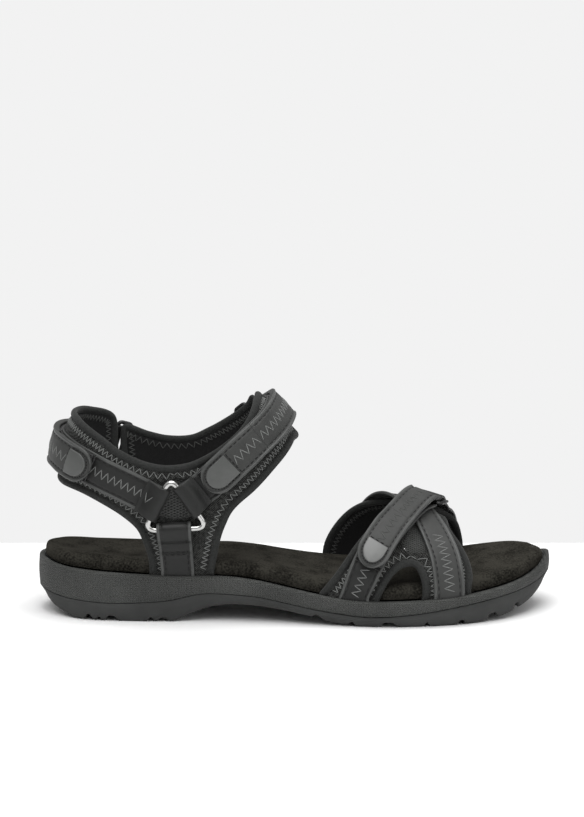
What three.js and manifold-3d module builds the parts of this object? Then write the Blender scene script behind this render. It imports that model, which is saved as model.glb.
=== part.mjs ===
// Strappy sport sandal, right foot, EU size 37. Millimetres: +X to the toe, +Y to the inner side, +Z up.
// Uppers are flat pieces draped on two foot forms: one for the ankle, one for the forefoot.
import * as THREE from 'three';
import { mergeVertices } from 'three/addons/utils/BufferGeometryUtils.js';
import Module from 'manifold-3d';

const wasm = await Module();
wasm.setup();

// ---- driving dimensions ----
const GAP = 0.3;                    // clearance between touching pieces
const SOLE_HALF = 127;              // half of the 254 mm sole
const FOOTBED_INSET = 7.5;          // footbed edge, in from the sole's edge
const LEDGE = 4;                    // flat ledge round the top of the midsole
const RECESS = 0.8;                 // depth of the seat for the lasting board
const UPPER_INSET = 6.1;            // foot side of the uppers at the sole, in from the sole's edge
const TUCK_BEND = 1.5;              // bend radius where the uppers turn in under the lasting board
const TUCK_DROP = 0.8;              // depth of the tucked uppers below the rim
const TUCK_LENGTH = 10;             // how far the uppers reach under the board
const STRAP_END = -1.2;             // straps end just below the rim, stitched to the pad
const BOARD = [0.3, 2.1];           // heights above the midsole's rim
const CORE = [2.5, 5.3];
const COVER = [5.7, 6.7];
const PAD = [0, 2.4];               // heights above the foot form, from here on
const STRAP_MID = 3.35;             // middle of the strap that lies on the pad
const STRAP_THICK = 1.2;
const LOOP_PILE = [4.3, 5.2];
const HOOK_PILE = [5.5, 6.6];
const RETURN_STRAP = [5.6, 8.3];    // folded-back strap, with its foam
const TAB_END = [6.9, 8.3];
const PATCH = [8.6, 9.4];
const CROSS_MID = 4.95;             // forefoot strap that crosses over another
const TRIANGLE_WIRE = 1.5;          // wire radius
const BUCKLE_WIRE = 1.0;
const BUCKLE_BARS = 6.4;            // distance between a buckle's two bars
const STRAP_WIDTH = 16.4;
const FORE_STRAP_WIDTH = 15;
const FLEX_STEP = 6.5;              // longest facet along a strap
const FLEX_SAG = 0.09;              // how far a strap's facet may leave its curve
const SAG = 0.42;                   // how far a facet may leave the form

// Sole outline, heel to toe: outer (lateral) edge and inner (medial) edge.
const LATERAL_EDGE = [[-127, 1], [-125, -9], [-119, -19.5], [-106, -28.5], [-80, -33], [-45, -34],
  [-10, -37.5], [20, -43], [45, -46], [70, -44], [91, -37], [107, -26.5], [118, -13.5], [124.5, -1], [127, 10]];
const MEDIAL_EDGE = [[-127, 1], [-125, 11], [-119, 20.5], [-106, 28], [-80, 31], [-45, 29], [-10, 31.5], [20, 38.5],
  [45, 44.5], [70, 46], [92, 43], [109, 36], [120.5, 26.5], [125.5, 18], [127, 10]];
// Heights along the sole: midsole rim, line where outsole meets midsole, and underside.
const RIM_LINE = [[-127, 27.8], [-110, 25.5], [-85, 23.8], [-60, 23], [-35, 22.8], [-20, 21.3], [-5, 18.4],
  [10, 15.5], [25, 13.4], [40, 12.6], [60, 13.1], [80, 14.4], [95, 16], [108, 18.3], [118, 21], [127, 26.5]];
const PARTING_LINE = [[-127, 13], [-110, 10.5], [-90, 9.3], [-65, 10.5], [-42, 14.6], [-20, 13.5], [-5, 10.8],
  [15, 7.3], [37, 5.2], [55, 6.3], [77, 9.2], [95, 11.8], [115, 15], [127, 18.5]];
const UNDERSIDE = [[-127, 11], [-118, 4.5], [-108, 1], [-98, 0], [-62, 0], [-50, 4.5], [-40, 7.8], [-30, 8.9],
  [-18, 8.2], [-4, 6.2], [8, 4], [20, 1.3], [32, 0], [75, 0], [90, 0.7], [103, 2.6], [115, 6.5], [127, 15]];
const TOE_RAISE = 3.2;              // extra height of the inner rim at the toe

const COLOURS = {
  rubber: [0x3d3e3c, 0.85], midsole: [0x424441, 0.9], board: [0x8a7a60, 0.9], foam: [0x55554f, 0.95],
  suede: [0x24231f, 1], neoprene: [0x3c3d3b, 0.85], mesh: [0x4a4b49, 0.8], leather: [0x313231, 0.55],
  hookLoop: [0x1d1d1d, 1], tab: [0x4a4c49, 0.5], tabLight: [0x9a9b97, 0.5], chrome: [0xc9cccc, 0.2],
};

// ---- small tools ----
const vec = (x, y, z) => new THREE.Vector3(x, y, z);
const range = (n) => Array.from({ length: n }, (_, i) => i);

/** Monotone cubic through [x, y] points. */
function through(points) {
  const n = points.length;
  const step = range(n - 1).map((i) => (points[i + 1][1] - points[i][1]) / (points[i + 1][0] - points[i][0]));
  const slope = points.map((_, i) => {
    if (i === 0) return step[0];
    if (i === n - 1) return step[n - 2];
    return step[i - 1] * step[i] <= 0 ? 0 : 2 * step[i - 1] * step[i] / (step[i - 1] + step[i]);
  });
  return (x) => {
    if (x <= points[0][0]) return points[0][1];
    if (x >= points[n - 1][0]) return points[n - 1][1];
    let i = 0;
    while (points[i + 1][0] < x) i += 1;
    const w = points[i + 1][0] - points[i][0];
    const t = (x - points[i][0]) / w;
    const [a, b] = [points[i][1], points[i + 1][1]];
    return a * (1 + 2 * t) * (1 - t) ** 2 + b * t * t * (3 - 2 * t)
      + w * (slope[i] * t * (1 - t) ** 2 + slope[i + 1] * t * t * (t - 1));
  };
}

const rim = through(RIM_LINE);
const parting = through(PARTING_LINE);
const underside = through(UNDERSIDE);
const wholeEdge = [...LATERAL_EDGE, ...MEDIAL_EDGE.slice(1, -1).reverse()];
const edgeCurve = new THREE.CatmullRomCurve3(wholeEdge.map(([x, y]) => vec(x, y, 0)), true, 'centripetal');
const outerEdge = (t) => edgeCurve.getPoint(t / 2);
const innerEdge = (t) => edgeCurve.getPoint(1 - t / 2);
const sideways = (edge) => through(range(60).map((i) => edge((i + 0.5) / 60)).map((p) => [p.x, p.y]));
const lateralAt = sideways(outerEdge);
const medialAt = sideways(innerEdge);

/** Height of the rim, a little higher on the inner side of the toe. across is 0 outer, 1 inner. */
const rimHeight = (x, across) => rim(x) + TOE_RAISE * across ** 2 * Math.exp(-(((x - 99) / 24) ** 2));

function meshOf(positions, triangles) {
  const g = new THREE.BufferGeometry();
  g.setAttribute('position', new THREE.Float32BufferAttribute(positions.flatMap((p) => [p.x, p.y, p.z]), 3));
  g.setIndex(triangles);
  return mergeVertices(g, 1e-4);
}

function toSolid(geometry) {
  const vertProperties = Float32Array.from(geometry.attributes.position.array);
  const triVerts = Uint32Array.from(geometry.index.array);
  return new wasm.Manifold(new wasm.Mesh({ numProp: 3, vertProperties, triVerts }));
}

function fromSolid(solid) {
  const { vertProperties, triVerts } = solid.getMesh();
  const g = new THREE.BufferGeometry();
  g.setAttribute('position', new THREE.BufferAttribute(Float32Array.from(vertProperties), 3));
  g.setIndex(new THREE.BufferAttribute(Uint32Array.from(triVerts), 1));
  return g;
}

/** Skin through closed sections of equal count, closed by fans at both ends. */
function loft(sections) {
  const m = sections[0].length;
  const points = sections.flat();
  const tri = [];
  sections.slice(1).forEach((_, i) => range(m).forEach((j) => {
    const [a, b] = [i * m + j, i * m + (j + 1) % m];
    tri.push(a, b, b + m, a, b + m, a + m);
  }));
  [[0, true], [sections.length - 1, false]].forEach(([i, first]) => {
    const centre = points.length;
    points.push(sections[i].reduce((s, p) => s.add(p), vec(0, 0, 0)).divideScalar(m));
    range(m).forEach((j) => {
      const [a, b] = [i * m + j, i * m + (j + 1) % m];
      if (first) tri.push(centre, b, a);
      else tri.push(centre, a, b);
    });
  });
  return meshOf(points, tri);
}

/** Closed wire loop through points that lie nearly in one plane with the given normal. */
function wireLoop(points, normal, radius, sides) {
  const n = points.length;
  const rings = points.map((p, i) => {
    const along = points[(i + 1) % n].clone().sub(points[(i + n - 1) % n]).normalize();
    const out = along.clone().cross(normal).normalize();
    const up = out.clone().cross(along);
    return range(sides).map((k) => {
      const a = 2 * Math.PI * (k + 0.5) / sides;
      return p.clone().addScaledVector(out, radius * Math.cos(a)).addScaledVector(up, radius * Math.sin(a));
    });
  });
  const tri = [];
  range(n).forEach((i) => range(sides).forEach((k) => {
    const [a, b] = [i * sides + k, i * sides + (k + 1) % sides];
    const [c, d] = [((i + 1) % n) * sides + k, ((i + 1) % n) * sides + (k + 1) % sides];
    tri.push(a, b, d, a, d, c);
  }));
  return meshOf(rings.flat(), tri);
}

/** Corner points joined by straight sides and round corners. */
function roundedLoop(corners, round, stepsPerCorner) {
  const n = corners.length;
  return corners.flatMap((c, i) => {
    const before = corners[(i + n - 1) % n].clone().sub(c).setLength(round).add(c);
    const after = corners[(i + 1) % n].clone().sub(c).setLength(round).add(c);
    return new THREE.QuadraticBezierCurve3(before, c, after).getPoints(stepsPerCorner);
  });
}

// ---- foot forms ----
// A form gives the point at (u, v). Below its base line v counts millimetres of tuck under the board.
const backLine = (z) => -115 + 0.0055 * Math.max(0, z - 62) ** 2;
const frontLine = (z) => 15.5 - Math.max(0, z - 62) ** 2 / (Math.max(0, z - 62) + 12);

/** Ankle: u is the angle in degrees from the back of the heel over the outer side, v the height. */
function anklePoint(u, v) {
  const a = u * Math.PI / 180;
  const low = Math.min(1, Math.max(0, (58 - v) / 33));
  const half = 32.5 - 0.0012 * Math.max(0, v - 58) ** 2;
  const middle = (backLine(v) + frontLine(v)) / 2;
  const reach = (frontLine(v) - backLine(v)) / 2;
  const x = middle - reach * Math.cos(a);
  const y = -half * Math.sin(a) * (1 + 0.25 * Math.cos(a) ** 2) + 1.25 * (1 - Math.cos(a));
  const atSole = Math.sin(a) > 0 ? lateralAt(x) + UPPER_INSET : medialAt(x) - UPPER_INSET;
  return vec(x, y + (atSole - y) * low * low * (3 - 2 * low), v);
}
const ankle = {
  point: anklePoint,
  base: (u) => rim(anklePoint(u, 24).x) + TUCK_BEND - TUCK_DROP,
  atBase: (u, v) => v < ankle.base(u) + 0.6,
  down: () => -1,
};

/** Forefoot: u is the station along the foot, v the angle from the outer side over the top. */
const crest = (x) => 53 - 0.26 * (x - 45);
function forePoint(u, v) {
  const a = v * Math.PI / 180;
  const [low, high] = [lateralAt(u) + UPPER_INSET, medialAt(u) - UPPER_INSET];
  const foot = rimHeight(u, v > 90 ? 1 : 0) + TUCK_BEND - TUCK_DROP;
  const y = (low + high) / 2 - (high - low) / 2 * Math.cos(a) + 4 * Math.sin(a) ** 2;
  return vec(u, y, foot + (crest(u) - foot) * Math.sin(a));
}
const fore = {
  point: forePoint,
  atBase: (u, v) => v < 0.1 || v > 179.9,
  down: (v) => (v > 90 ? 1 : -1),
};

/** Frame of a form at (u, v): point, unit normal and the two partial derivatives. */
function frameAt(form, u, v) {
  const e = 0.02;
  const du = form.point(u + e, v).sub(form.point(u - e, v)).divideScalar(2 * e);
  const dv = form.point(u, v + e).sub(form.point(u, v - e)).divideScalar(2 * e);
  const n = du.clone().cross(dv).normalize();
  return { p: form.point(u, v), n, du, dv };
}

/** Continues a form below its base: a bend of TUCK_BEND, then level under the lasting board. */
function tuck(frame, down, depth, h) {
  const full = Math.atan2(-down.z, -frame.n.z || 0);
  const a = Math.min(depth / TUCK_BEND, full);
  const rest = Math.max(0, depth - full * TUCK_BEND);
  const inward = down.clone().multiplyScalar(Math.cos(a)).addScaledVector(frame.n, -Math.sin(a));
  const normal = frame.n.clone().multiplyScalar(Math.cos(a)).addScaledVector(down, Math.sin(a));
  return frame.p.clone()
    .addScaledVector(down, TUCK_BEND * Math.sin(a))
    .addScaledVector(frame.n, -TUCK_BEND * (1 - Math.cos(a)))
    .addScaledVector(inward, rest)
    .addScaledVector(normal, h);
}

/** Point at (u, v) and height h over a form, with its tuck. */
function over(form, u, v, h) {
  if (form === ankle) {
    const base = ankle.base(u);
    if (v >= base) {
      const f = frameAt(form, u, v);
      return f.p.addScaledVector(f.n, h);
    }
    const f = frameAt(form, u, base);
    return tuck(f, f.dv.clone().normalize().negate(), base - v, h);
  }
  const edge = Math.min(180, Math.max(0, v));
  const f = frameAt(form, u, edge);
  if (edge === v) return f.p.addScaledVector(f.n, h);
  return tuck(f, vec(0, 0, -1), Math.abs(v - edge), h);
}

// ---- draped pieces ----
/** A pad: outline in (u, v), with holes, as a closed sheet between two heights over the form.
 *  The stretch of the outline that lies on the form's base line is carried on under the board, by tucked mm. */
function pad(form, outline, [low, high], { holes = [], longest = 24, sag = SAG, tucked = TUCK_LENGTH } = {}) {
  const loops = [outline, ...holes].map((loop) => loop.map(([u, v]) => new THREE.Vector2(u, v)));
  const flat = loops.flat();
  let tris = THREE.ShapeUtils.triangulateShape(loops[0], loops.slice(1));
  const onBase = new Set(range(flat.length).filter((i) => form.atBase(flat[i].x, flat[i].y)));
  const middle = (low + high) / 2;
  const space = flat.map((q) => over(form, q.x, q.y, middle));
  // Edges that are long, or whose middle leaves the form, are halved until none is.
  for (let round = 0; round < 7; round += 1) {
    const halves = new Map();
    const half = (i, j) => {
      const key = i < j ? `${i}_${j}` : `${j}_${i}`;
      if (!halves.has(key)) {
        const q = flat[i].clone().add(flat[j]).multiplyScalar(0.5);
        const p = over(form, q.x, q.y, middle);
        const length = space[i].distanceTo(space[j]);
        const leaves = p.distanceTo(space[i].clone().add(space[j]).multiplyScalar(0.5));
        if (length > longest || (leaves > sag && length > 1.6)) {
          flat.push(q);
          space.push(p);
          if (onBase.has(i) && onBase.has(j)) onBase.add(flat.length - 1);
          halves.set(key, flat.length - 1);
        } else {
          halves.set(key, -1);
        }
      }
      return halves.get(key);
    };
    const before = flat.length;
    tris = tris.flatMap(([a, b, c]) => {
      const m = [half(a, b), half(b, c), half(c, a)];
      return splitTriangle([a, b, c], m);
    });
    if (flat.length === before) break;
  }
  const rims = edgesOf(tris);
  const hem = rims.filter(([i, j]) => onBase.has(i) && onBase.has(j));
  const below = new Map();
  const row = (i, depth) => {
    const key = `${i}_${depth}`;
    if (!below.has(key)) {
      const q = flat[i];
      flat.push(new THREE.Vector2(q.x, q.y + form.down(q.y) * depth));
      below.set(key, flat.length - 1);
    }
    return depth === 0 ? i : below.get(key);
  };
  const depths = tucked > 0 ? [0, 0.8, 1.6, 2.6, tucked] : [0];
  depths.slice(1).forEach((depth, k) => hem.forEach(([i, j]) => {
    const [a, b, c, d] = [row(i, depths[k]), row(j, depths[k]), row(i, depth), row(j, depth)];
    tris.push([b, a, c], [b, c, d]);
  }));
  const n = flat.length;
  const points = [...flat.map((q) => over(form, q.x, q.y, low)), ...flat.map((q) => over(form, q.x, q.y, high))];
  const index = tris.flatMap(([a, b, c]) => [a, c, b, a + n, b + n, c + n]);
  edgesOf(tris).forEach(([i, j]) => index.push(i, j, j + n, i, j + n, i + n));
  return outwards(meshOf(points, index));
}

/** The edges that only one triangle uses, in that triangle's direction. */
function edgesOf(tris) {
  const directed = new Map();
  tris.forEach(([a, b, c]) => [[a, b], [b, c], [c, a]].forEach(([i, j]) => directed.set(`${i}_${j}`, [i, j])));
  return [...directed.values()].filter(([i, j]) => !directed.has(`${j}_${i}`));
}

function splitTriangle([a, b, c], [ab, bc, ca]) {
  const cuts = [ab, bc, ca].filter((m) => m >= 0).length;
  if (cuts === 0) return [[a, b, c]];
  if (cuts === 3) return [[a, ab, ca], [ab, b, bc], [ca, bc, c], [ab, bc, ca]];
  if (cuts === 1) {
    if (ab >= 0) return [[a, ab, c], [ab, b, c]];
    if (bc >= 0) return [[b, bc, a], [bc, c, a]];
    return [[c, ca, b], [ca, a, b]];
  }
  if (ab < 0) return [[c, ca, bc], [a, bc, ca], [a, b, bc]];
  if (bc < 0) return [[a, ab, ca], [b, ca, ab], [b, c, ca]];
  return [[b, bc, ab], [c, ab, bc], [c, a, ab]];
}

/** Turns a closed mesh the right way out. */
function outwards(geometry) {
  const p = geometry.attributes.position;
  const index = Array.from(geometry.index.array);
  let volume = 0;
  const [a, b, c] = [vec(0, 0, 0), vec(0, 0, 0), vec(0, 0, 0)];
  for (let i = 0; i < index.length; i += 3) {
    a.fromBufferAttribute(p, index[i]);
    b.fromBufferAttribute(p, index[i + 1]);
    c.fromBufferAttribute(p, index[i + 2]);
    volume += a.dot(b.cross(c));
  }
  if (volume < 0) {
    for (let i = 0; i < index.length; i += 3) [index[i], index[i + 1]] = [index[i + 1], index[i]];
    geometry.setIndex(index);
  }
  return geometry;
}

/** A band: a path on a form with length s along it, and c across it. */
function bandOn(form, path) {
  const curve = new THREE.CatmullRomCurve3(path.map(([u, v]) => vec(u, v, 0)), false, 'centripetal');
  const samples = curve.getPoints(320);
  const places = samples.map((q) => over(form, q.x, q.y, STRAP_MID));
  const reach = [0];
  places.slice(1).forEach((p, i) => reach.push(reach[i] + p.distanceTo(places[i])));
  const length = reach[reach.length - 1];
  const uv = (s) => {
    let i = 0;
    while (i < reach.length - 2 && reach[i + 1] < s) i += 1;
    const t = (s - reach[i]) / (reach[i + 1] - reach[i]);
    return [samples[i].x + t * (samples[i + 1].x - samples[i].x), samples[i].y + t * (samples[i + 1].y - samples[i].y)];
  };
  const at = (s, c, h) => {
    const [u, v] = uv(s);
    if (c === 0) return over(form, u, v, h);
    const onForm = form === ankle ? [u, Math.max(v, ankle.base(u))] : [u, Math.min(180, Math.max(0, v))];
    const f = frameAt(form, ...onForm);
    const ahead = uv(s + 0.5);
    const behind = uv(s - 0.5);
    const along = f.du.clone().multiplyScalar(ahead[0] - behind[0]).addScaledVector(f.dv, ahead[1] - behind[1]);
    const across = f.n.clone().cross(along).normalize();
    const [aa, ab, bb] = [f.du.dot(f.du), f.du.dot(f.dv), f.dv.dot(f.dv)];
    const [ra, rb] = [f.du.dot(across), f.dv.dot(across)];
    const det = aa * bb - ab * ab;
    // Close to the sole a strap's cross lines follow the sole.
    const above = form === ankle ? (v - ankle.base(u)) / 9 : Math.min(v, 180 - v) / 14;
    const level = Math.min(1, Math.max(0, above));
    return over(form, u + c * (ra * bb - rb * ab) / det, v + level * c * (rb * aa - ra * ab) / det, h);
  };
  return { at, length };
}

const arc = (s, h, r, from, to, n) => range(n + 1).map((i) => {
  const a = (from + (to - from) * i / n) * Math.PI / 180;
  return [s + r * Math.cos(a), h + r * Math.sin(a)];
});

/** A flat strap on a band. line is its middle in (s, h); width may be a function of the length along it. */
function strap(band, line, thick, width, { columns = 2 } = {}) {
  const fine = [line[0]];
  const addTo = (a, b) => {
    const half = [(a[0] + b[0]) / 2, (a[1] + b[1]) / 2];
    const [p, q, m] = [a, b, half].map(([s, h]) => band.at(s, 0, h));
    const length = p.distanceTo(q);
    const leaves = m.distanceTo(p.add(q).multiplyScalar(0.5));
    if (length > FLEX_STEP || (leaves > FLEX_SAG && length > 1.2)) {
      addTo(a, half);
      addTo(half, b);
    } else {
      fine.push(b);
    }
  };
  line.slice(1).forEach((q, i) => addTo(line[i], q));
  const reach = [0];
  fine.slice(1).forEach((q, i) => reach.push(reach[i] + Math.hypot(q[0] - fine[i][0], q[1] - fine[i][1])));
  const total = reach[reach.length - 1];
  const widthAt = typeof width === 'function' ? width : () => width;
  const rows = fine.map((q, i) => {
    const [p, n] = [fine[Math.max(0, i - 1)], fine[Math.min(fine.length - 1, i + 1)]];
    const size = Math.hypot(n[0] - p[0], n[1] - p[1]);
    const side = [-(n[1] - p[1]) / size * thick / 2, (n[0] - p[0]) / size * thick / 2];
    const w = widthAt(reach[i], total) / 2;
    const cross = (sign) => range(columns + 1).map((k) => band.at(
      q[0] + sign * side[0], w * (2 * k / columns - 1), q[1] + sign * side[1]));
    return [...cross(1), ...cross(-1).reverse()];
  });
  return outwards(loft(rows));
}

/** Width that ends in a half-round tip at the far end. */
const roundTip = (width, depth) => (s, total) => {
  const left = total - s;
  if (left >= depth) return width;
  return Math.max(width * 0.3, width * Math.sqrt(1 - (1 - left / depth) ** 2));
};

/** Flat block on a band between two heights, such as a pile pad or a patch. */
const slab = (band, from, to, [low, high], width, options) => strap(
  band, [[from, (low + high) / 2], [to, (low + high) / 2]], high - low, width, options);

// ---- sole ----
const STATIONS = range(29).map((i) => 0.5 - 0.5 * Math.cos(Math.PI * (0.03 + 0.94 * i / 28)));

/** Outline points at a station, drawn in by an inset and scaled. across is 0 outer, 1 inner. */
function edgePair(t, inset, scaleX, scaleY) {
  const [outer, inner] = [outerEdge(t), innerEdge(t)];
  const drawn = inset * Math.min(1, (inner.y - outer.y) / 36);
  const shrink = scaleX * (1 - inset / SOLE_HALF);
  return [vec(outer.x * shrink, (outer.y + drawn) * scaleY, 0), vec(inner.x * shrink, (inner.y - drawn) * scaleY, 0)];
}

/** Solid with side layers from the bottom up, closed by a bottom and a top drawn across. */
function soleSolid(layers, crossings, dish) {
  const sections = STATIONS.map((t) => {
    const sides = layers.map(({ inset = 0, scale = [1, 1], height }) => {
      const [l, m] = edgePair(t, inset, ...scale);
      return [vec(l.x, l.y, height(l.x, 0)), vec(m.x, m.y, height(m.x, 1))];
    });
    const across = (pair, depth) => range(crossings).map((i) => {
      const f = (i + 1) / (crossings + 1);
      const p = pair[0].clone().lerp(pair[1], f);
      return p.setZ(p.z - depth(p.x) * Math.sin(Math.PI * f));
    });
    const bottom = across(sides[0], dish.bottom);
    const top = across(sides[sides.length - 1], dish.top).reverse();
    return [...sides.map((s) => s[0]).reverse(), ...bottom, ...sides.map((s) => s[1]), ...top];
  });
  return outwards(loft(sections));
}

const cup = (x) => 1.8 * Math.exp(-(((x + 80) / 45) ** 2)) + 1.2 * Math.exp(-(((x - 60) / 35) ** 2));
const flat = () => 0;

// Grooves across the tread: place along the sole, width, depth and slant in degrees.
const GROOVES = [[-111, 3, 3, 20], [-101, 2.4, 2.2, 10], [-90, 5, 2.8, 0], [-76, 2.8, 2.6, 20], [-64, 2.6, 2.4, -12],
  [22, 3, 2, -16], [36, 2.6, 2.4, -12], [50, 6.4, 2.6, -6], [64, 2.6, 2.4, 0], [77, 2.6, 2.4, 6], [90, 4.6, 3, 12],
  [101.5, 3, 3.2, 18]];

function outsole() {
  const body = soleSolid([
    { scale: [0.975, 0.86], height: (x) => underside(x / 0.975) },
    { scale: [0.992, 0.93], height: (x) => underside(x) + 0.4 * (parting(x) - underside(x)) },
    { scale: [1, 0.965], height: (x) => parting(x) - GAP },
  ], 2, { bottom: flat, top: flat });
  let solid = toSolid(body);
  GROOVES.forEach(([x, width, depth, slant]) => {
    const cutter = mergeVertices(stripped(new THREE.BoxGeometry(width, 130, 2 * depth)));
    cutter.rotateZ(slant * Math.PI / 180);
    cutter.translate(x, 0, underside(x));
    solid = solid.subtract(toSolid(cutter));
  });
  return fromSolid(solid);
}

function stripped(g) {
  g.deleteAttribute('normal');
  g.deleteAttribute('uv');
  return g;
}

function midsole(pockets) {
  const body = soleSolid([
    { scale: [1, 0.965], height: (x) => parting(x) },
    { scale: [1.004, 1.003], height: (x, f) => parting(x) + 0.55 * (rimHeight(x, f) - parting(x)) },
    { height: (x, f) => rimHeight(x, f) },
    { inset: LEDGE, height: (x, f) => rimHeight(x, f) },
    { inset: LEDGE + 1, height: (x, f) => rimHeight(x, f) - RECESS },
  ], 2, { bottom: flat, top: cup });
  return fromSolid(pockets.reduce((solid, p) => solid.subtract(toSolid(p)), toSolid(body)));
}

/** A layer of the footbed between two heights over the rim. */
const footbedLayer = ([low, high], inset) => soleSolid([
  { inset, height: (x, f) => rimHeight(x, f) + low },
  { inset, height: (x, f) => rimHeight(x, f) + high },
], 2, { bottom: cup, top: cup });

// ---- ankle uppers ----
const HEEL_BAND = bandOn(ankle, [[75.5, 60], [68, 64.3], [59, 68.8], [48, 73.3], [39, 76.5], [21.5, 80.5], [5, 82],
  [-12, 82.5], [-30, 81.5], [-50, 78.5], [-64, 74.5], [-76, 69], [-84, 63]]);
const INSTEP_BAND = bandOn(ankle, [[88.4, 61.5], [95, 66.7], [104.5, 74], [117.5, 82], [133.5, 89], [156, 95],
  [172, 97.2], [188, 97.2], [204, 95], [226.5, 89], [242, 82], [255, 74], [264, 66]]);
const STEM_BAND = bandOn(ankle, [[82.2, 48], [82.6, 40], [83, 32], [83.4, 26], [83.4, 22.6]]);
const MEDIAL_STEM_BAND = bandOn(ankle, [[-83, 58], [-83, 50], [-83, 40], [-83, 32], [-83, 26], [-83, 22.6]]);

const LATERAL_QUARTER = [[71, 24.2], [70.5, 31], [68.5, 38.5], [65.5, 46], [59, 52], [49, 57.5], [34.5, 62.5],
  [15, 64.5], [-10, 65.5], [-30, 66], [-51, 68], [-53, 80], [-51, 92], [-30, 98], [-8, 99.5], [8, 99.5], [23.5, 98],
  [47, 91.5], [59.5, 85], [71, 80], [80.5, 78], [91.5, 79], [102.5, 83], [116, 89], [137, 98], [154, 104], [170, 107],
  [186, 106], [192, 96], [187, 86.5], [162.5, 84.5], [135, 75.5], [116.5, 64], [107.5, 55.5], [104, 48], [102, 41.5],
  [100.5, 33], [99, 24.2]];
const MESH_WINDOW = [[73.5, 55], [79, 68], [85, 72], [92.5, 68], [92.5, 54], [82, 52]];
const MEDIAL_QUARTER = [[-71, 24.2], [-70, 34], [-67.5, 44], [-62.5, 55], [-58, 65], [-57, 79], [-60, 86.5], [-72, 83],
  [-80, 81], [-91.5, 81], [-102.5, 85], [-116, 90.5], [-134, 97.5], [-150, 102.5], [-154, 94], [-149, 82], [-135, 75.5],
  [-116.5, 64], [-107.5, 55.5], [-104, 48], [-102, 41], [-100.5, 33], [-99, 24.2]];

/** Line of a strap that loops round a bar at s = 0: a short leg under it, then the long leg over the short one. */
function loopLine(shortLength, longLength, wire) {
  const r = wire + 0.5 + STRAP_THICK / 2;
  const resting = STRAP_MID + STRAP_THICK + GAP;
  const turn = arc(0, STRAP_MID + r, r, 270, 90, 6);
  return [[shortLength, STRAP_MID], ...turn, [shortLength * 0.45, STRAP_MID + 1.6 * r], [shortLength * 0.8, resting],
    [shortLength + 1, resting], [shortLength + 4, STRAP_MID], [longLength, STRAP_MID]];
}

/** One closure strap: the run, its buckle, the folded-back strap and its hook-and-loop end. */
function closure(settings) {
  const { name, band, barAt, wire, start, width, foldTop, seam, tip, mid } = settings;
  const { pileFrom, layers, patchLength, bulge } = settings;
  const r = wire + 0.5 + STRAP_THICK / 2;
  const top = mid + 2 * r;
  const line = [...start, [barAt, mid], ...arc(barAt, mid + r, r, -90, 90, 6), [barAt - foldTop, top]];
  const run = strap(band, line, STRAP_THICK, width);
  const startOfReturn = barAt - foldTop - 0.5;
  const rise = (s) => bulge * Math.exp(-(((s - startOfReturn) / 16) ** 2));
  const lineOver = (from, to, [low, high]) => {
    const n = Math.max(1, Math.round(Math.abs(to - from) / 4.4));
    return range(n + 1).map((i) => {
      const s = from + (to - from) * i / n;
      return [s, (low + high) / 2 + rise(s)];
    });
  };
  const back = strap(band, lineOver(startOfReturn, seam + 0.5, layers.back), layers.back[1] - layers.back[0], width);
  const tab = strap(band, lineOver(seam, tip, layers.tab), layers.tab[1] - layers.tab[0], roundTip(width + 0.6, 8));
  const hook = slab(band, seam - 1, tip + 2.5, layers.hook, width - 2);
  const loop = slab(band, pileFrom, barAt - 9, layers.loop, width - 2);
  const patch = slab(band, tip + patchLength, tip + 1, layers.patch, roundTip(width - 0.5, 7), { columns: 3 });
  return [
    [`${name}_strap_run`, run, 'leather'], [`${name}_loop_pad`, loop, 'hookLoop'],
    [`${name}_strap_return`, back, 'leather'], [`${name}_tab_end`, tab, 'leather'],
    [`${name}_hook_pad`, hook, 'hookLoop'], [`${name}_tab_patch`, patch, name === 'forefoot' ? 'tabLight' : 'tab'],
    [`${name}_buckle`, buckle(band, barAt, mid + r, width, wire), 'chrome'],
  ];
}

/** Rectangular wire buckle whose bars lie across the band at s and s + BUCKLE_BARS. */
function buckle(band, s, h, width, wire) {
  const reach = width / 2 + wire + 0.9;
  const places = [[s, -reach], [s + BUCKLE_BARS, -reach], [s + BUCKLE_BARS, reach], [s, reach]];
  const corners = places.map(([a, c]) => band.at(a, c, h));
  const normal = corners[1].clone().sub(corners[0]).cross(corners[3].clone().sub(corners[0])).normalize();
  return outwards(wireLoop(roundedLoop(corners, 1.9, 3), normal, wire, 6));
}

/** Triangle ring: its three bars lie across the three bands at their starts. */
function triangleRing() {
  const h = STRAP_MID + TRIANGLE_WIRE + 0.5 + STRAP_THICK / 2;
  const bars = [HEEL_BAND, INSTEP_BAND, STEM_BAND].map((band) => [band.at(0, -8, h), band.at(0, 8, h)]);
  const meet = ([a, b], [c, d]) => {
    const [u, v, w] = [b.clone().sub(a), d.clone().sub(c), a.clone().sub(c)];
    const [uu, uv, vv, uw, vw] = [u.dot(u), u.dot(v), v.dot(v), u.dot(w), v.dot(w)];
    const det = uu * vv - uv * uv;
    const p = a.clone().addScaledVector(u, (uv * vw - vv * uw) / det);
    const q = c.clone().addScaledVector(v, (uu * vw - uv * uw) / det);
    return p.add(q).multiplyScalar(0.5);
  };
  const corners = [meet(bars[0], bars[1]), meet(bars[1], bars[2]), meet(bars[2], bars[0])];
  const normal = corners[1].clone().sub(corners[0]).cross(corners[2].clone().sub(corners[0])).normalize();
  return outwards(wireLoop(roundedLoop(corners, 6.5, 5), normal, TRIANGLE_WIRE, 8));
}

const RINGED = { back: RETURN_STRAP, tab: TAB_END, hook: HOOK_PILE, loop: LOOP_PILE, patch: PATCH };

const loopStart = (wire) => {
  const r = wire + 0.5 + STRAP_THICK / 2;
  const resting = STRAP_MID + STRAP_THICK + 0.25;
  return [[8.6, resting], [6.6, resting + 0.2], [3.4, STRAP_MID + 1.7 * r], ...arc(0, STRAP_MID + r, r, 90, 270, 6)];
};

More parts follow.
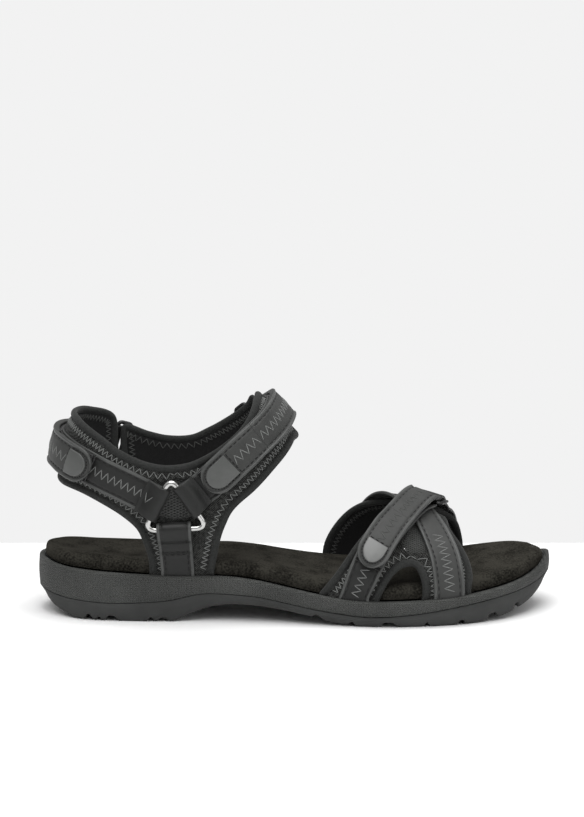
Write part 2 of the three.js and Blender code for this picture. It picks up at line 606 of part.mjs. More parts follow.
const HEEL = closure({
  name: 'heel', band: HEEL_BAND, barAt: HEEL_BAND.length - 38, wire: BUCKLE_WIRE, start: loopStart(TRIANGLE_WIRE),
  width: STRAP_WIDTH, foldTop: 2.6, seam: 62, tip: 35.5, mid: STRAP_MID, pileFrom: 37, layers: RINGED,
  patchLength: 12, bulge: 0,
});
const INSTEP = closure({
  name: 'instep', band: INSTEP_BAND, barAt: INSTEP_BAND.length - 34, wire: BUCKLE_WIRE, start: loopStart(TRIANGLE_WIRE),
  width: STRAP_WIDTH, foldTop: 2.6, seam: 44, tip: 10.5, mid: STRAP_MID, pileFrom: 11.5, layers: RINGED,
  patchLength: 16.5, bulge: 0,
});

// ---- forefoot uppers ----
const FORE_BAND = bandOn(fore, [[29, STRAP_END], [29, 0], [32.5, 12], [37.5, 27], [44, 43], [51, 59], [57.5, 76],
  [63.5, 92], [68, 107], [72, 124], [74.5, 142], [76, 162], [76.5, 180], [76.5, 180 - STRAP_END]]);
const CROSS_BAND = bandOn(fore, [[74, STRAP_END], [74, 0], [74, 8], [72.4, 30], [69.4, 45], [65.6, 60], [61, 76],
  [55, 92], [48.5, 110], [42, 130], [37, 150], [34.5, 168], [34, 180], [34, 180 - STRAP_END]]);
const FORE_LAYERS = { back: [7.35, 9.3], tab: [7.9, 9.3], hook: [6.8, 7.6], loop: [5.8, 6.5], patch: [9.6, 10.4] };
const LATERAL_PAD = [[12, 0], [18, 10.5], [24, 22.5], [29, 33.5], [37, 49.5], [44, 61], [52, 76], [62, 80], [73, 78],
  [76, 61], [81, 44.5], [84.5, 30], [86, 16], [85, 0], [61.5, 0], [61.5, 10], [60, 18], [57.5, 23.5],
  [53, 22.5], [49, 18.5], [45, 11], [41, 0]];
const FORE_MESH_WINDOW = [[53, 34], [63.5, 34], [66, 43], [62, 56], [57.5, 56], [54, 45]];
const MEDIAL_PAD = [[14, 180], [15, 168], [21.5, 150], [34, 128], [48, 113], [58, 105], [70, 105], [77, 118], [82, 134],
  [85, 158], [86, 180], [58, 180], [57, 171], [53.5, 165], [48, 164], [44.5, 170], [44, 180]];

const foreBar = 77;
const crossing = 50;                // where the closure strap rides over the crossing strap
const FORE = closure({
  name: 'forefoot', band: FORE_BAND, barAt: foreBar, wire: 0.9, width: FORE_STRAP_WIDTH, foldTop: 2.4,
  seam: crossing - 2, tip: 17.5, mid: CROSS_MID, pileFrom: 18.5, layers: FORE_LAYERS, patchLength: 11.5, bulge: 1.6,
  start: [[0.3, STRAP_MID], [7, STRAP_MID], [14, CROSS_MID]],
});

/** Leather anchor that holds a buckle's far bar and is stitched down behind it. */
function anchor(band, barAt, wire, end, width, mid = STRAP_MID) {
  const r = wire + 0.5 + STRAP_THICK / 2;
  const line = [[end, STRAP_MID], [barAt + 15, STRAP_MID], [barAt + 9, mid], ...arc(barAt, mid + r, r, 270, 90, 6),
    [barAt + 3, mid + 1.8 * r], [barAt + 8, mid + STRAP_THICK + GAP], [barAt + 11, mid + STRAP_THICK + GAP]];
  return strap(band, line, STRAP_THICK, width);
}

/** Room in the midsole for what is tucked under the board along a stretch of a form's base. */
function pocket(form, base, up, [from, to], room, tucked) {
  const corners = [[from, base(from)], [to, base(to)], [to, base(to) + up], [from, base(from) + up]];
  return pad(form, corners, [-0.7, room], { longest: 30, sag: 0.25, tucked });
}

const PAD_ROOM = 3;
const STRAP_ROOM = 4.6;
const stem = (from, to, room, tucked) => pocket(ankle, ankle.base, 3, [from, to], room, tucked);
const outerSide = (from, to, room, tucked) => pocket(fore, () => 0, 6, [from, to], room, tucked);
const innerSide = (from, to, room, tucked) => pocket(fore, () => 180, -6, [from, to], room, tucked);
const PADS_TUCKED = TUCK_LENGTH + 0.8;
const STRAPS_TUCKED = 2.8;
const POCKETS = [
  stem(68.5, 101.5, PAD_ROOM, PADS_TUCKED), stem(73, 93.5, STRAP_ROOM, STRAPS_TUCKED),
  stem(-101.5, -68.5, PAD_ROOM, PADS_TUCKED), stem(-93, -73, STRAP_ROOM, STRAPS_TUCKED),
  outerSide(10, 42.5, PAD_ROOM, PADS_TUCKED), outerSide(60, 87, PAD_ROOM, PADS_TUCKED),
  outerSide(19, 39, STRAP_ROOM, STRAPS_TUCKED), outerSide(64, 84, STRAP_ROOM, STRAPS_TUCKED),
  innerSide(12, 45.5, PAD_ROOM, PADS_TUCKED), innerSide(56.5, 88, PAD_ROOM, PADS_TUCKED),
  innerSide(24, 44, STRAP_ROOM, STRAPS_TUCKED), innerSide(66.5, 86.5, STRAP_ROOM, STRAPS_TUCKED),
];

// ---- assembly ----
/** A window's outline drawn in towards its middle, for the panel that fills it. */
const fitted = (window, [cu, cv], [fu, fv]) => window.map(([u, v]) => [cu + (u - cu) * fu, cv + (v - cv) * fv]);
const QUARTER_MESH = fitted(MESH_WINDOW, [82, 60], [0.94, 0.94]);
const FORE_MESH = fitted(FORE_MESH_WINDOW, [59.5, 44], [0.93, 0.95]);
const STEM_LOOP = loopLine(10, STEM_BAND.length - 0.5, TRIANGLE_WIRE);
const heelAnchorBar = HEEL_BAND.length - 38 + BUCKLE_BARS;
const instepAnchorBar = INSTEP_BAND.length - 34 + BUCKLE_BARS;

const pieces = [
  ['outsole', outsole(), 'rubber'],
  ['midsole', midsole(POCKETS), 'midsole'],
  ['lasting_board', footbedLayer(BOARD, FOOTBED_INSET), 'board'],
  ['footbed_core', footbedLayer(CORE, FOOTBED_INSET), 'foam'],
  ['footbed_cover', footbedLayer(COVER, FOOTBED_INSET), 'suede'],
  ['lateral_quarter_pad', pad(ankle, LATERAL_QUARTER, PAD, { holes: [MESH_WINDOW] }), 'neoprene'],
  ['lateral_mesh_panel', pad(ankle, QUARTER_MESH, [0.7, 1.7]), 'mesh'],
  ['ring_loop_tab', strap(STEM_BAND, STEM_LOOP, STRAP_THICK, 16.5), 'leather'],
  ['triangle_ring', triangleRing(), 'chrome'],
  ...HEEL,
  ...INSTEP,
  ['medial_quarter_pad', pad(ankle, MEDIAL_QUARTER, PAD), 'neoprene'],
  ['medial_heel_anchor',
    anchor(HEEL_BAND, heelAnchorBar, BUCKLE_WIRE, HEEL_BAND.length - 12, STRAP_WIDTH), 'leather'],
  ['medial_instep_anchor',
    anchor(INSTEP_BAND, instepAnchorBar, BUCKLE_WIRE, INSTEP_BAND.length - 10, STRAP_WIDTH), 'leather'],
  ['medial_stem_strap', slab(MEDIAL_STEM_BAND, 0, MEDIAL_STEM_BAND.length - 0.5, [3, 4.2], 16.5), 'leather'],
  ['forefoot_lateral_pad', pad(fore, LATERAL_PAD, PAD, { holes: [FORE_MESH_WINDOW] }), 'neoprene'],
  ['forefoot_lateral_mesh', pad(fore, FORE_MESH, [0.7, 1.7]), 'mesh'],
  ['forefoot_cross_strap', slab(CROSS_BAND, 0.5, CROSS_BAND.length - 0.5, [2.75, 3.95], FORE_STRAP_WIDTH), 'leather'],
  ...FORE,
  ['forefoot_anchor_strap',
    anchor(FORE_BAND, foreBar + BUCKLE_BARS, 0.9, FORE_BAND.length - 0.5, FORE_STRAP_WIDTH, CROSS_MID), 'leather'],
  ['forefoot_medial_pad', pad(fore, MEDIAL_PAD, PAD), 'neoprene'],
];

const sandal = new THREE.Group();
sandal.name = 'sandal';
pieces.forEach(([name, geometry, finish]) => {
  const [colour, roughness] = COLOURS[finish];
  const metalness = finish === 'chrome' ? 1 : 0;
  const mesh = new THREE.Mesh(geometry, new THREE.MeshStandardMaterial({ color: colour, roughness, metalness }));
  mesh.name = name;
  sandal.add(mesh);
});
const box = new THREE.Box3().setFromObject(sandal);
sandal.position.set(-(box.min.x + box.max.x) / 2, -(box.min.y + box.max.y) / 2, -box.min.z);

export default sandal;
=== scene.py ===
# Strappy sport sandal, right foot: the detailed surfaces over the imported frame.
# Lengths are millimetres on the foot forms and become metres in meshFrom().
import math

import bmesh
import bpy
import numpy as np
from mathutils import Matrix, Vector, geometry


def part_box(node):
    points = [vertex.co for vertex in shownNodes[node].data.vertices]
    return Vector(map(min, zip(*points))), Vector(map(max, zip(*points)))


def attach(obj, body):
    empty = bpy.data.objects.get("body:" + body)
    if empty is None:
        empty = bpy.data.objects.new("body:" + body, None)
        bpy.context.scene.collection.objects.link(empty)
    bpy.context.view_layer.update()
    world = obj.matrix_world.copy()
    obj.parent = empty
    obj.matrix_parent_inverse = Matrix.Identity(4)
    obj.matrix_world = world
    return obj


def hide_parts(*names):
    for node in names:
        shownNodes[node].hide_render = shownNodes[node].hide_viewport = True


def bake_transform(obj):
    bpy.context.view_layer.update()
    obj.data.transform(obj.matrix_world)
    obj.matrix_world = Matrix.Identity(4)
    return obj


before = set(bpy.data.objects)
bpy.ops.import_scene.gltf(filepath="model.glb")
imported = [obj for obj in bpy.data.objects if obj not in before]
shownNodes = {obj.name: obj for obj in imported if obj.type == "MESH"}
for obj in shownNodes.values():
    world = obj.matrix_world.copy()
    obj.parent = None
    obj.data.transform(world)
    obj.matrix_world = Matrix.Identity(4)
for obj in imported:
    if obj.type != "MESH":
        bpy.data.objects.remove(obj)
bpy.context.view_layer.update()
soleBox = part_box("midsole")
formMiddle = 0.053  # mm, the middle of the sole across the foot forms
nudge = np.array([0, (soleBox[0].y + soleBox[1].y) * 500 - formMiddle, 0])  # forms to the centred part

# curves and small tools


def through(points):  # smooth curve through [x, y] points that never overshoots
    px, py = np.array(points, float).T
    step = np.diff(py) / np.diff(px)
    slope = np.zeros(len(px))
    slope[0], slope[-1] = step[0], step[-1]
    for i in range(1, len(px) - 1):
        a, b = step[i - 1], step[i]
        slope[i] = 0 if a * b <= 0 else 2 * a * b / (a + b)

    def at(x):
        x = np.clip(np.asarray(x, float), px[0], px[-1])
        i = np.clip(np.searchsorted(px, x, side="right") - 1, 0, len(px) - 2)
        w = px[i + 1] - px[i]
        t = (x - px[i]) / w
        return (py[i] * (1 + 2 * t) * (1 - t) ** 2 + py[i + 1] * t * t * (3 - 2 * t)
                + w * (slope[i] * t * (1 - t) ** 2 + slope[i + 1] * t * t * (t - 1)))
    return at


def smoothPath(points, perSpan, closed=False):  # round curve through points in any dimension
    p = np.array(points, float)
    n = len(p)
    if closed:
        ext = np.vstack([p[-1], p, p[:2]])
    else:
        ext = np.vstack([2 * p[0] - p[1], p, 2 * p[-1] - p[-2]])
    out = []
    for i in range(n if closed else n - 1):
        p0, p1, p2, p3 = ext[i:i + 4]
        d0, d1, d2 = (max(1e-4, np.linalg.norm(b - a) ** 0.5) for a, b in ((p0, p1), (p1, p2), (p2, p3)))
        t1 = ((p1 - p0) / d0 - (p2 - p0) / (d0 + d1) + (p2 - p1) / d1) * d1
        t2 = ((p2 - p1) / d1 - (p3 - p1) / (d1 + d2) + (p3 - p2) / d2) * d1
        t = (np.arange(perSpan) / perSpan)[:, None]
        square, cube = -3 * p1 + 3 * p2 - 2 * t1 - t2, 2 * p1 - 2 * p2 + t1 + t2
        out.append(p1 + t1 * t + square * t ** 2 + cube * t ** 3)
    if not closed:
        out.append(p[-1:])
    return np.vstack(out)


def lengthsOf(points):
    return np.r_[0, np.cumsum(np.linalg.norm(np.diff(points, axis=0), axis=1))]


def resample(points, step):  # the same path with even steps
    reach = lengthsOf(points)
    count = max(2, int(round(reach[-1] / step)) + 1)
    s = np.linspace(0, reach[-1], count)
    return np.stack([np.interp(s, reach, points[:, k]) for k in range(points.shape[1])], 1)


def unit(v):
    return v / np.maximum(1e-9, np.linalg.norm(v, axis=-1, keepdims=True))


def ease(x):
    x = np.clip(x, 0, 1)
    return x * x * (3 - 2 * x)


def ripple(p, size, seed):  # gentle unevenness, about -1 to 1, over points in mm
    r = np.random.default_rng(seed)
    total = np.zeros(len(p))
    for _ in range(6):
        way = unit(r.normal(size=3))
        total += np.sin(p @ way * 2 * np.pi / (size * r.uniform(0.7, 1.5)) + r.uniform(0, 6.28))
    return total / 3


# sole lines seen from above and from the side, then the two forms that the uppers lie on
soleLines = {
    "outer": [[-127, 1], [-125, -9], [-119, -19.5], [-106, -28.5], [-80, -33], [-45, -34], [-10, -37.5],
              [20, -43], [45, -46], [70, -44], [91, -37], [107, -26.5], [118, -13.5], [124.5, -1],
              [127, 10]],
    "inner": [[-127, 1], [-125, 11], [-119, 20.5], [-106, 28], [-80, 31], [-45, 29], [-10, 31.5],
              [20, 38.5], [45, 44.5], [70, 46], [92, 43], [109, 36], [120.5, 26.5], [125.5, 18], [127, 10]],
    "rim": [[-127, 27.8], [-110, 25.5], [-85, 23.8], [-60, 23], [-35, 22.8], [-20, 21.3], [-5, 18.4],
            [10, 15.5], [25, 13.4], [40, 12.6], [60, 13.1], [80, 14.4], [95, 16], [108, 18.3], [118, 21],
            [127, 26.5]],
    "parting": [[-127, 13], [-110, 10.5], [-90, 9.3], [-65, 10.5], [-42, 14.6], [-20, 13.5], [-5, 10.8],
                [15, 7.3], [37, 5.2], [55, 6.3], [77, 9.2], [95, 11.8], [115, 15], [127, 18.5]],
    "under": [[-127, 11], [-118, 4.5], [-108, 1], [-98, 0], [-62, 0], [-50, 4.5], [-40, 7.8], [-30, 8.9],
              [-18, 8.2], [-4, 6.2], [8, 4], [20, 1.3], [32, 0], [75, 0], [90, 0.7], [103, 2.6], [115, 6.5],
              [127, 15]],
    "toeRaise": 3.2,
}
rim, parting, underside = (through(soleLines[k]) for k in ("rim", "parting", "under"))
edgeLoop = smoothPath(soleLines["outer"] + soleLines["inner"][1:-1][::-1], 40, closed=True)
spans = len(soleLines["outer"]) - 1
outerLine = edgeLoop[:spans * 40 + 1]
innerLine = np.vstack([edgeLoop[spans * 40:], edgeLoop[:1]])[::-1]


def lateralAt(x):
    return np.interp(x, outerLine[:, 0], outerLine[:, 1])


def medialAt(x):
    return np.interp(x, innerLine[:, 0], innerLine[:, 1])


def rimHeight(x, across):
    return rim(x) + soleLines["toeRaise"] * across ** 2 * np.exp(-(((x - 99) / 24) ** 2))


upperInset = 6.1
strapMid, strapThick, gap = 3.35, 1.2, 0.3  # height of a strap's middle over the form, its thickness
slack = 0.5  # between a wire and the strap round it


def anklePoint(u, v):  # u turns from the back of the heel over the outer side, v is the height
    a = np.radians(u)
    up = np.maximum(0, v - 62)
    back, front = -115 + 0.0055 * up ** 2, 15.5 - up ** 2 / (up + 12)
    low = np.clip((58 - v) / 33, 0, 1)
    half = 32.5 - 0.0012 * np.maximum(0, v - 58) ** 2
    x = (back + front) / 2 - (front - back) / 2 * np.cos(a)
    y = -half * np.sin(a) * (1 + 0.25 * np.cos(a) ** 2) + 1.25 * (1 - np.cos(a))
    atSole = np.where(np.sin(a) > 0, lateralAt(x) + upperInset, medialAt(x) - upperInset)
    return np.stack([x, y + (atSole - y) * low * low * (3 - 2 * low), v + 0 * a], -1)


def forePoint(u, v):  # u is the station along the foot, v turns from the outer side over the top
    a = np.radians(v)
    low, high = lateralAt(u) + upperInset, medialAt(u) - upperInset
    foot = rimHeight(u, np.where(v > 90, 1, 0)) + 0.7
    y = (low + high) / 2 - (high - low) / 2 * np.cos(a) + 4 * np.sin(a) ** 2
    return np.stack([u + 0 * a, y, foot + (53 - 0.26 * (u - 45) - foot) * np.sin(a)], -1)


ankle = {"point": anklePoint, "low": lambda u: rim(anklePoint(u, 24 + 0 * u)[..., 0]) + 0.7,
         "high": lambda u: 1e3 + 0 * u, "flat": np.array([np.radians(1) * 48, 1])}
fore = {"point": forePoint, "low": lambda u: 0 * u, "high": lambda u: 180 + 0 * u,
        "flat": np.array([1, np.radians(1) * 44])}


def frameAt(form, u, v):
    e = 0.02
    du = (form["point"](u + e, v) - form["point"](u - e, v)) / (2 * e)
    dv = (form["point"](u, v + e) - form["point"](u, v - e)) / (2 * e)
    return form["point"](u, v), unit(np.cross(du, dv)), du, dv


def over(form, u, v, h):  # point at height h over a form; past the form's base it goes straight down
    u, v, h = np.broadcast_arrays(*(np.asarray(x, float) for x in (u, v, h)))
    held = np.clip(v, form["low"](u), form["high"](u))
    p, n, du, dv = frameAt(form, u, held)
    below = np.abs(v - held)[..., None]
    down = np.where((below > 0) & (form is fore), np.array([0, 0, -1.0]), -unit(dv))
    return p + n * h[..., None] + down * below


def bandOn(form, path):  # a path on a form: s along it, c across it, h above the form
    line = smoothPath(path, 40)
    places = over(form, line[:, 0], line[:, 1], strapMid)
    reach = lengthsOf(places)

    def uv(s):
        i = np.clip(np.searchsorted(reach, s, side="right") - 1, 0, len(reach) - 2)
        t = (s - reach[i]) / (reach[i + 1] - reach[i])
        return (line[i] + t[..., None] * (line[i + 1] - line[i])).T

    def at(s, c, h):
        s, c, h = (np.asarray(x, float).ravel() for x in np.broadcast_arrays(s, c, h))
        u, v = uv(s)
        held = np.clip(v, form["low"](u), form["high"](u))
        p, n, du, dv = frameAt(form, u, held)
        (u1, v1), (u0, v0) = uv(s + 0.5), uv(s - 0.5)
        along = du * (u1 - u0)[:, None] + dv * (v1 - v0)[:, None]
        across = unit(np.cross(n, along))
        aa, ab, bb = (du * du).sum(1), (du * dv).sum(1), (dv * dv).sum(1)
        ra, rb = (du * across).sum(1), (dv * across).sum(1)
        det = aa * bb - ab * ab
        above = (v - form["low"](u)) / 9 if form is ankle else np.minimum(v, 180 - v) / 14
        level = np.clip(above, 0, 1)
        return over(form, u + c * (ra * bb - rb * ab) / det, v + level * c * (rb * aa - ra * ab) / det, h)
    return {"at": at, "length": reach[-1], "form": form, "uv": uv}


print("forms ready")

# materials: noise and wave scales are per metre, bump distances are metres
palette = {
    # the second strap leather on the next line is painted light: the same leather made lighter for straps that lie
    # on top and face up
    "leather": (0.0105, 0.011, 0.0103), "leatherSoft": (0.034, 0.035, 0.0335),
    # the first colour on the next line is painted highlight: the strap leather made lighter for the top of the
    # piping and edges
    "leatherEdge": (0.062, 0.064, 0.062), "knit": (0.034, 0.035, 0.033), "lining": (0.010, 0.010, 0.010),
    "binding": (0.024, 0.025, 0.024), "thread": (0.17, 0.175, 0.17), "threadDark": (0.004, 0.004, 0.004),
    "threadTone": (0.062, 0.064, 0.061), "suede": (0.0195, 0.0185, 0.0155), "midsole": (0.054, 0.056, 0.053),
    "outsole": (0.038, 0.039, 0.038), "patchDark": (0.072, 0.075, 0.072), "patchLight": (0.15, 0.153, 0.149),
    "pile": (0.008, 0.008, 0.008), "mesh": (0.075, 0.077, 0.074), "board": (0.11, 0.10, 0.085),
    "foam": (0.05, 0.05, 0.05), "chrome": (0.52, 0.52, 0.51), "wire": (0.05, 0.05, 0.05),
}
grain = {
    "leatherCells": 1500.0, "leatherFine": 2600.0, "leatherTone": 90.0, "knitRows": 420.0, "knitFleck": 800.0,
    "suedeNap": 1100.0, "suedePatches": 85.0, "mouldFine": 1400.0, "mouldTone": 45.0, "metalSmear": 300.0,
    "threadTwist": 3000.0, "patchFine": 1800.0, "patchTone": 120.0,
    "knurl": (("X", 1.25), ("Y", 1.05)),  # rib pitch in mm along and up the side
    "wavePerPitch": 0.314,  # wave scale that gives one rib per mm
}


def newMaterial(name, colour, rough, metallic=0.0, sheen=0.0, coat=0.0, specular=0.5):
    m = bpy.data.materials.new(name)
    m.use_nodes = True
    shader = m.node_tree.nodes["Principled BSDF"]
    values = {"Base Color": (*palette[colour], 1), "Roughness": rough, "Metallic": metallic, "Coat Weight": coat,
              "Specular IOR Level": specular, "Sheen Weight": sheen, "Sheen Roughness": 0.5}
    for key, value in values.items():
        shader.inputs[key].default_value = value
    return m, m.node_tree, shader


def addNode(tree, kind, **values):
    node = tree.nodes.new(kind)
    for key, value in values.items():
        if key in node.inputs.keys():
            node.inputs[key].default_value = value
        else:
            setattr(node, key, value)
    return node


def combine(tree, operation, a, b):  # a and b are outputs or numbers
    node = addNode(tree, "ShaderNodeMath", operation=operation)
    for socket, value in zip(node.inputs, (a, b)):
        if isinstance(value, float):
            socket.default_value = value
        else:
            tree.links.new(value, socket)
    return node.outputs[0]


def coordsOf(tree, where="Object"):
    return addNode(tree, "ShaderNodeTexCoord").outputs[where]


def noiseOf(tree, scale, detail=3.0):
    noise = addNode(tree, "ShaderNodeTexNoise", Scale=scale, Detail=detail)
    tree.links.new(coordsOf(tree), noise.inputs["Vector"])
    return noise.outputs["Fac"]


def tint(tree, shader, fac, colour, low, high, between=(0.35, 0.65)):  # colour varies with fac
    ramp = addNode(tree, "ShaderNodeValToRGB")
    base = np.array(palette[colour])
    for stop, place, level in zip(ramp.color_ramp.elements, between, (low, high)):
        stop.position = place
        stop.color = (*np.clip(base * level, 0, 1), 1)
    tree.links.new(fac, ramp.inputs["Fac"])
    tree.links.new(ramp.outputs["Color"], shader.inputs["Base Color"])


def relief(tree, shader, layers):  # stacked bumps: (height output, strength, distance)
    last = None
    for fac, strength, distance in layers:
        bump = addNode(tree, "ShaderNodeBump", Strength=strength, Distance=distance)
        tree.links.new(fac, bump.inputs["Height"])
        if last:
            tree.links.new(last, bump.inputs["Normal"])
        last = bump.outputs["Normal"]
    tree.links.new(last, shader.inputs["Normal"])


def varyRough(tree, shader, fac, low, high):
    span = addNode(tree, "ShaderNodeMapRange")
    span.inputs["To Min"].default_value = low
    span.inputs["To Max"].default_value = high
    tree.links.new(fac, span.inputs["Value"])
    tree.links.new(span.outputs["Result"], shader.inputs["Roughness"])


def leatherMaterial(name, colour, rough):
    m, tree, shader = newMaterial(name, colour, rough, sheen=0.03, specular=0.33)
    cells = addNode(tree, "ShaderNodeTexVoronoi", Scale=grain["leatherCells"], feature="DISTANCE_TO_EDGE")
    tree.links.new(coordsOf(tree), cells.inputs["Vector"])
    fine, broad = noiseOf(tree, grain["leatherFine"]), noiseOf(tree, grain["leatherTone"], 4.0)
    tint(tree, shader, broad, colour, 0.82, 1.2)
    creases = cells.outputs["Distance"]
    relief(tree, shader, [(creases, 0.35, 0.0002), (fine, 0.25, 0.0001), (broad, 0.2, 0.0012)])
    varyRough(tree, shader, broad, rough - 0.07, rough + 0.1)
    return m


def knitMaterial(name, colour, contrast=0.8):  # heather knit: small loops in rows, light and dark yarns
    m, tree, shader = newMaterial(name, colour, 0.92, sheen=0.1, specular=0.15)
    coords, rows = coordsOf(tree), []
    for turn in ((0.2, 0.9, 0.4), (0.2, -0.7, -0.5)):
        mapping = addNode(tree, "ShaderNodeMapping", Rotation=turn)
        wave = addNode(tree, "ShaderNodeTexWave", Scale=grain["knitRows"], Distortion=1.2, Detail=1.0)
        wave.inputs["Detail Scale"].default_value = 2.0
        tree.links.new(coords, mapping.inputs["Vector"])
        tree.links.new(mapping.outputs["Vector"], wave.inputs["Vector"])
        rows.append(wave.outputs["Fac"])
    weave = combine(tree, "MULTIPLY", *rows)
    fleck = noiseOf(tree, grain["knitFleck"], 2.0)
    mixed = combine(tree, "ADD", combine(tree, "MULTIPLY", weave, 0.45), fleck)
    tint(tree, shader, mixed, colour, 1 - contrast, 1 + contrast, (0.45, 0.9))
    relief(tree, shader, [(weave, 0.7, 0.0004), (fleck, 0.4, 0.0002)])
    return m


def plainCloth(name, colour, scale=1600.0, rough=0.9, sheen=0.08, spread=0.25):
    m, tree, shader = newMaterial(name, colour, rough, sheen=sheen, specular=0.2)
    fine = noiseOf(tree, scale, 4.0)
    tint(tree, shader, fine, colour, 1 - spread, 1 + spread)
    relief(tree, shader, [(fine, 0.5, 0.00025)])
    return m


def suedeMaterial(name, colour):
    m, tree, shader = newMaterial(name, colour, 0.97, sheen=0.05, specular=0.03)
    shader.inputs["Sheen Tint"].default_value = (0.55, 0.5, 0.4, 1)
    nap, patches = noiseOf(tree, grain["suedeNap"], 6.0), noiseOf(tree, grain["suedePatches"], 5.0)
    blend = combine(tree, "ADD", combine(tree, "MULTIPLY", patches, 0.8), nap)
    tint(tree, shader, blend, colour, 0.4, 1.85, (0.7, 1.03))
    relief(tree, shader, [(nap, 0.8, 0.0005), (patches, 0.25, 0.002)])
    return m


def mouldedMaterial(name, colour, rough, knurled):  # knurled: ribs along the side, from the piece's UV in mm, with painted highlight on the rib tops and painted shade between them
    m, tree, shader = newMaterial(name, colour, rough, specular=0.35)
    fine, broad = noiseOf(tree, grain["mouldFine"]), noiseOf(tree, grain["mouldTone"], 4.0)
    tint(tree, shader, broad, colour, 0.86, 1.14)
    layers = [(fine, 0.35, 0.0003), (broad, 0.1, 0.001)]
    if knurled:
        coords, ribs = coordsOf(tree, "UV"), []
        for axis, pitch in grain["knurl"]:
            wave = addNode(tree, "ShaderNodeTexWave", Scale=grain["wavePerPitch"] / pitch, wave_type="BANDS",
                           bands_direction=axis, wave_profile="SIN")
            tree.links.new(coords, wave.inputs["Vector"])
            ribs.append(wave.outputs["Fac"])
        dots = combine(tree, "MULTIPLY", *ribs)
        layers.append((dots, 1.0, 0.0006))
        # painted highlight and shade: the colour follows the ribs, lighter on their tops and darker between them,
        # over the random tone
        total = combine(tree, "ADD", combine(tree, "MULTIPLY", dots, 0.55), broad)
        tint(tree, shader, total, colour, 0.72, 1.35, (0.35, 1.05))
    relief(tree, shader, layers)
    return m


def metalMaterial(name, colour, rough):
    m, tree, shader = newMaterial(name, colour, rough, metallic=1.0)
    smear = noiseOf(tree, grain["metalSmear"], 4.0)
    varyRough(tree, shader, smear, rough * 0.7, rough * 1.5)
    relief(tree, shader, [(smear, 0.05, 0.0002)])
    return m


def threadMaterial(name, colour):
    m, tree, shader = newMaterial(name, colour, 0.7, sheen=0.1, specular=0.3)
    twist = noiseOf(tree, grain["threadTwist"], 2.0)
    tint(tree, shader, twist, colour, 0.75, 1.25)
    relief(tree, shader, [(twist, 0.4, 0.0001)])
    return m


def smoothPatch(name, colour):
    m, tree, shader = newMaterial(name, colour, 0.42, coat=0.12)
    fine, broad = noiseOf(tree, grain["patchFine"], 2.0), noiseOf(tree, grain["patchTone"], 3.0)
    tint(tree, shader, broad, colour, 0.93, 1.08)
    varyRough(tree, shader, broad, 0.36, 0.52)
    relief(tree, shader, [(fine, 0.12, 0.0001)])
    return m


finishes = {colour: make(name, colour, *rest) for make, name, colour, *rest in (
    # the lighter strap leather is painted light for straps facing up, the piping leather is painted highlight
    (leatherMaterial, "strapLeather", "leather", 0.46), (leatherMaterial, "foldedStrapLeather", "leatherSoft", 0.5),
    (leatherMaterial, "strapPiping", "leatherEdge", 0.4), (knitMaterial, "heatherKnit", "knit"),
    (plainCloth, "liningCloth", "lining"), (plainCloth, "bindingTape", "binding", 1300.0),
    (threadMaterial, "lightThread", "thread"), (threadMaterial, "darkThread", "threadDark"),
    (threadMaterial, "toneThread", "threadTone"), (suedeMaterial, "brushedSuede", "suede"),
    (mouldedMaterial, "knurledMidsole", "midsole", 0.72, True),
    (mouldedMaterial, "outsoleRubber", "outsole", 0.8, False),
    (smoothPatch, "tabPatchDark", "patchDark"), (smoothPatch, "tabPatchLight", "patchLight"),
    (plainCloth, "hookAndLoopPile", "pile", 2200.0, 1.0, 0.3, 0.6), (plainCloth, "meshYarn", "mesh", 2500.0, 0.75),
    (plainCloth, "fibreBoard", "board", 700.0), (plainCloth, "footbedFoam", "foam", 1200.0),
    (metalMaterial, "platedWire", "chrome", 0.16), (metalMaterial, "darkWire", "wire", 0.42))}
print("materials ready")

# building pieces


def meshFrom(name, points, faces, finish, uvs=None, second=None, sharp=55):  # second: a finish, and its faces
    mesh = bpy.data.meshes.new(name)
    metres = (np.asarray(points) + nudge) / 1000
    mesh.from_pydata([tuple(p) for p in metres], [], [tuple(int(i) for i in f) for f in faces])
    mesh.validate()
    mesh.shade_smooth()
    if sharp:
        mesh.set_sharp_from_angle(angle=math.radians(sharp))
    mesh.materials.append(finishes[finish])
    if second:
        mesh.materials.append(finishes[second[0]])
        mesh.polygons.foreach_set("material_index", np.asarray(second[1], np.int32))
    if uvs is not None:
        layer = mesh.uv_layers.new(name="UVMap")
        corners = np.zeros(len(mesh.loops), np.int32)
        mesh.loops.foreach_get("vertex_index", corners)
        layer.data.foreach_set("uv", np.asarray(uvs, np.float32)[corners].ravel())
    obj = bpy.data.objects.new(name, mesh)
    bpy.context.scene.collection.objects.link(obj)
    return obj


def skin(rows, closed=False):  # faces over rings of equal count
    n, m = rows.shape[:2]
    faces = []
    for i in range(n if closed else n - 1):
        for j in range(m):
            a, b = i * m + j, i * m + (j + 1) % m
            c, d = ((i + 1) % n) * m + (j + 1) % m, ((i + 1) % n) * m + j
            faces.append((a, b, c, d))
    if not closed:
        faces.append(tuple(range(m))[::-1])
        faces.append(tuple(range((n - 1) * m, n * m)))
    return rows.reshape(-1, 3), faces


def facing(obj):  # all faces outwards
    b = bmesh.new()
    b.from_mesh(obj.data)
    bmesh.ops.recalc_face_normals(b, faces=b.faces)
    b.to_mesh(obj.data)
    b.free()
    return obj


def settle(obj, held, nodes=()):  # held: a body, or (body a, body b, start, end) in mm, whose parts are not used: such a piece is only baked in place
    if isinstance(held, str):
        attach(obj, held)
    else:
        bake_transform(obj)
    if nodes:
        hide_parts(*nodes)
    return obj


def leather(obj, held="sandal", *nodes):
    return settle(obj, held, nodes)


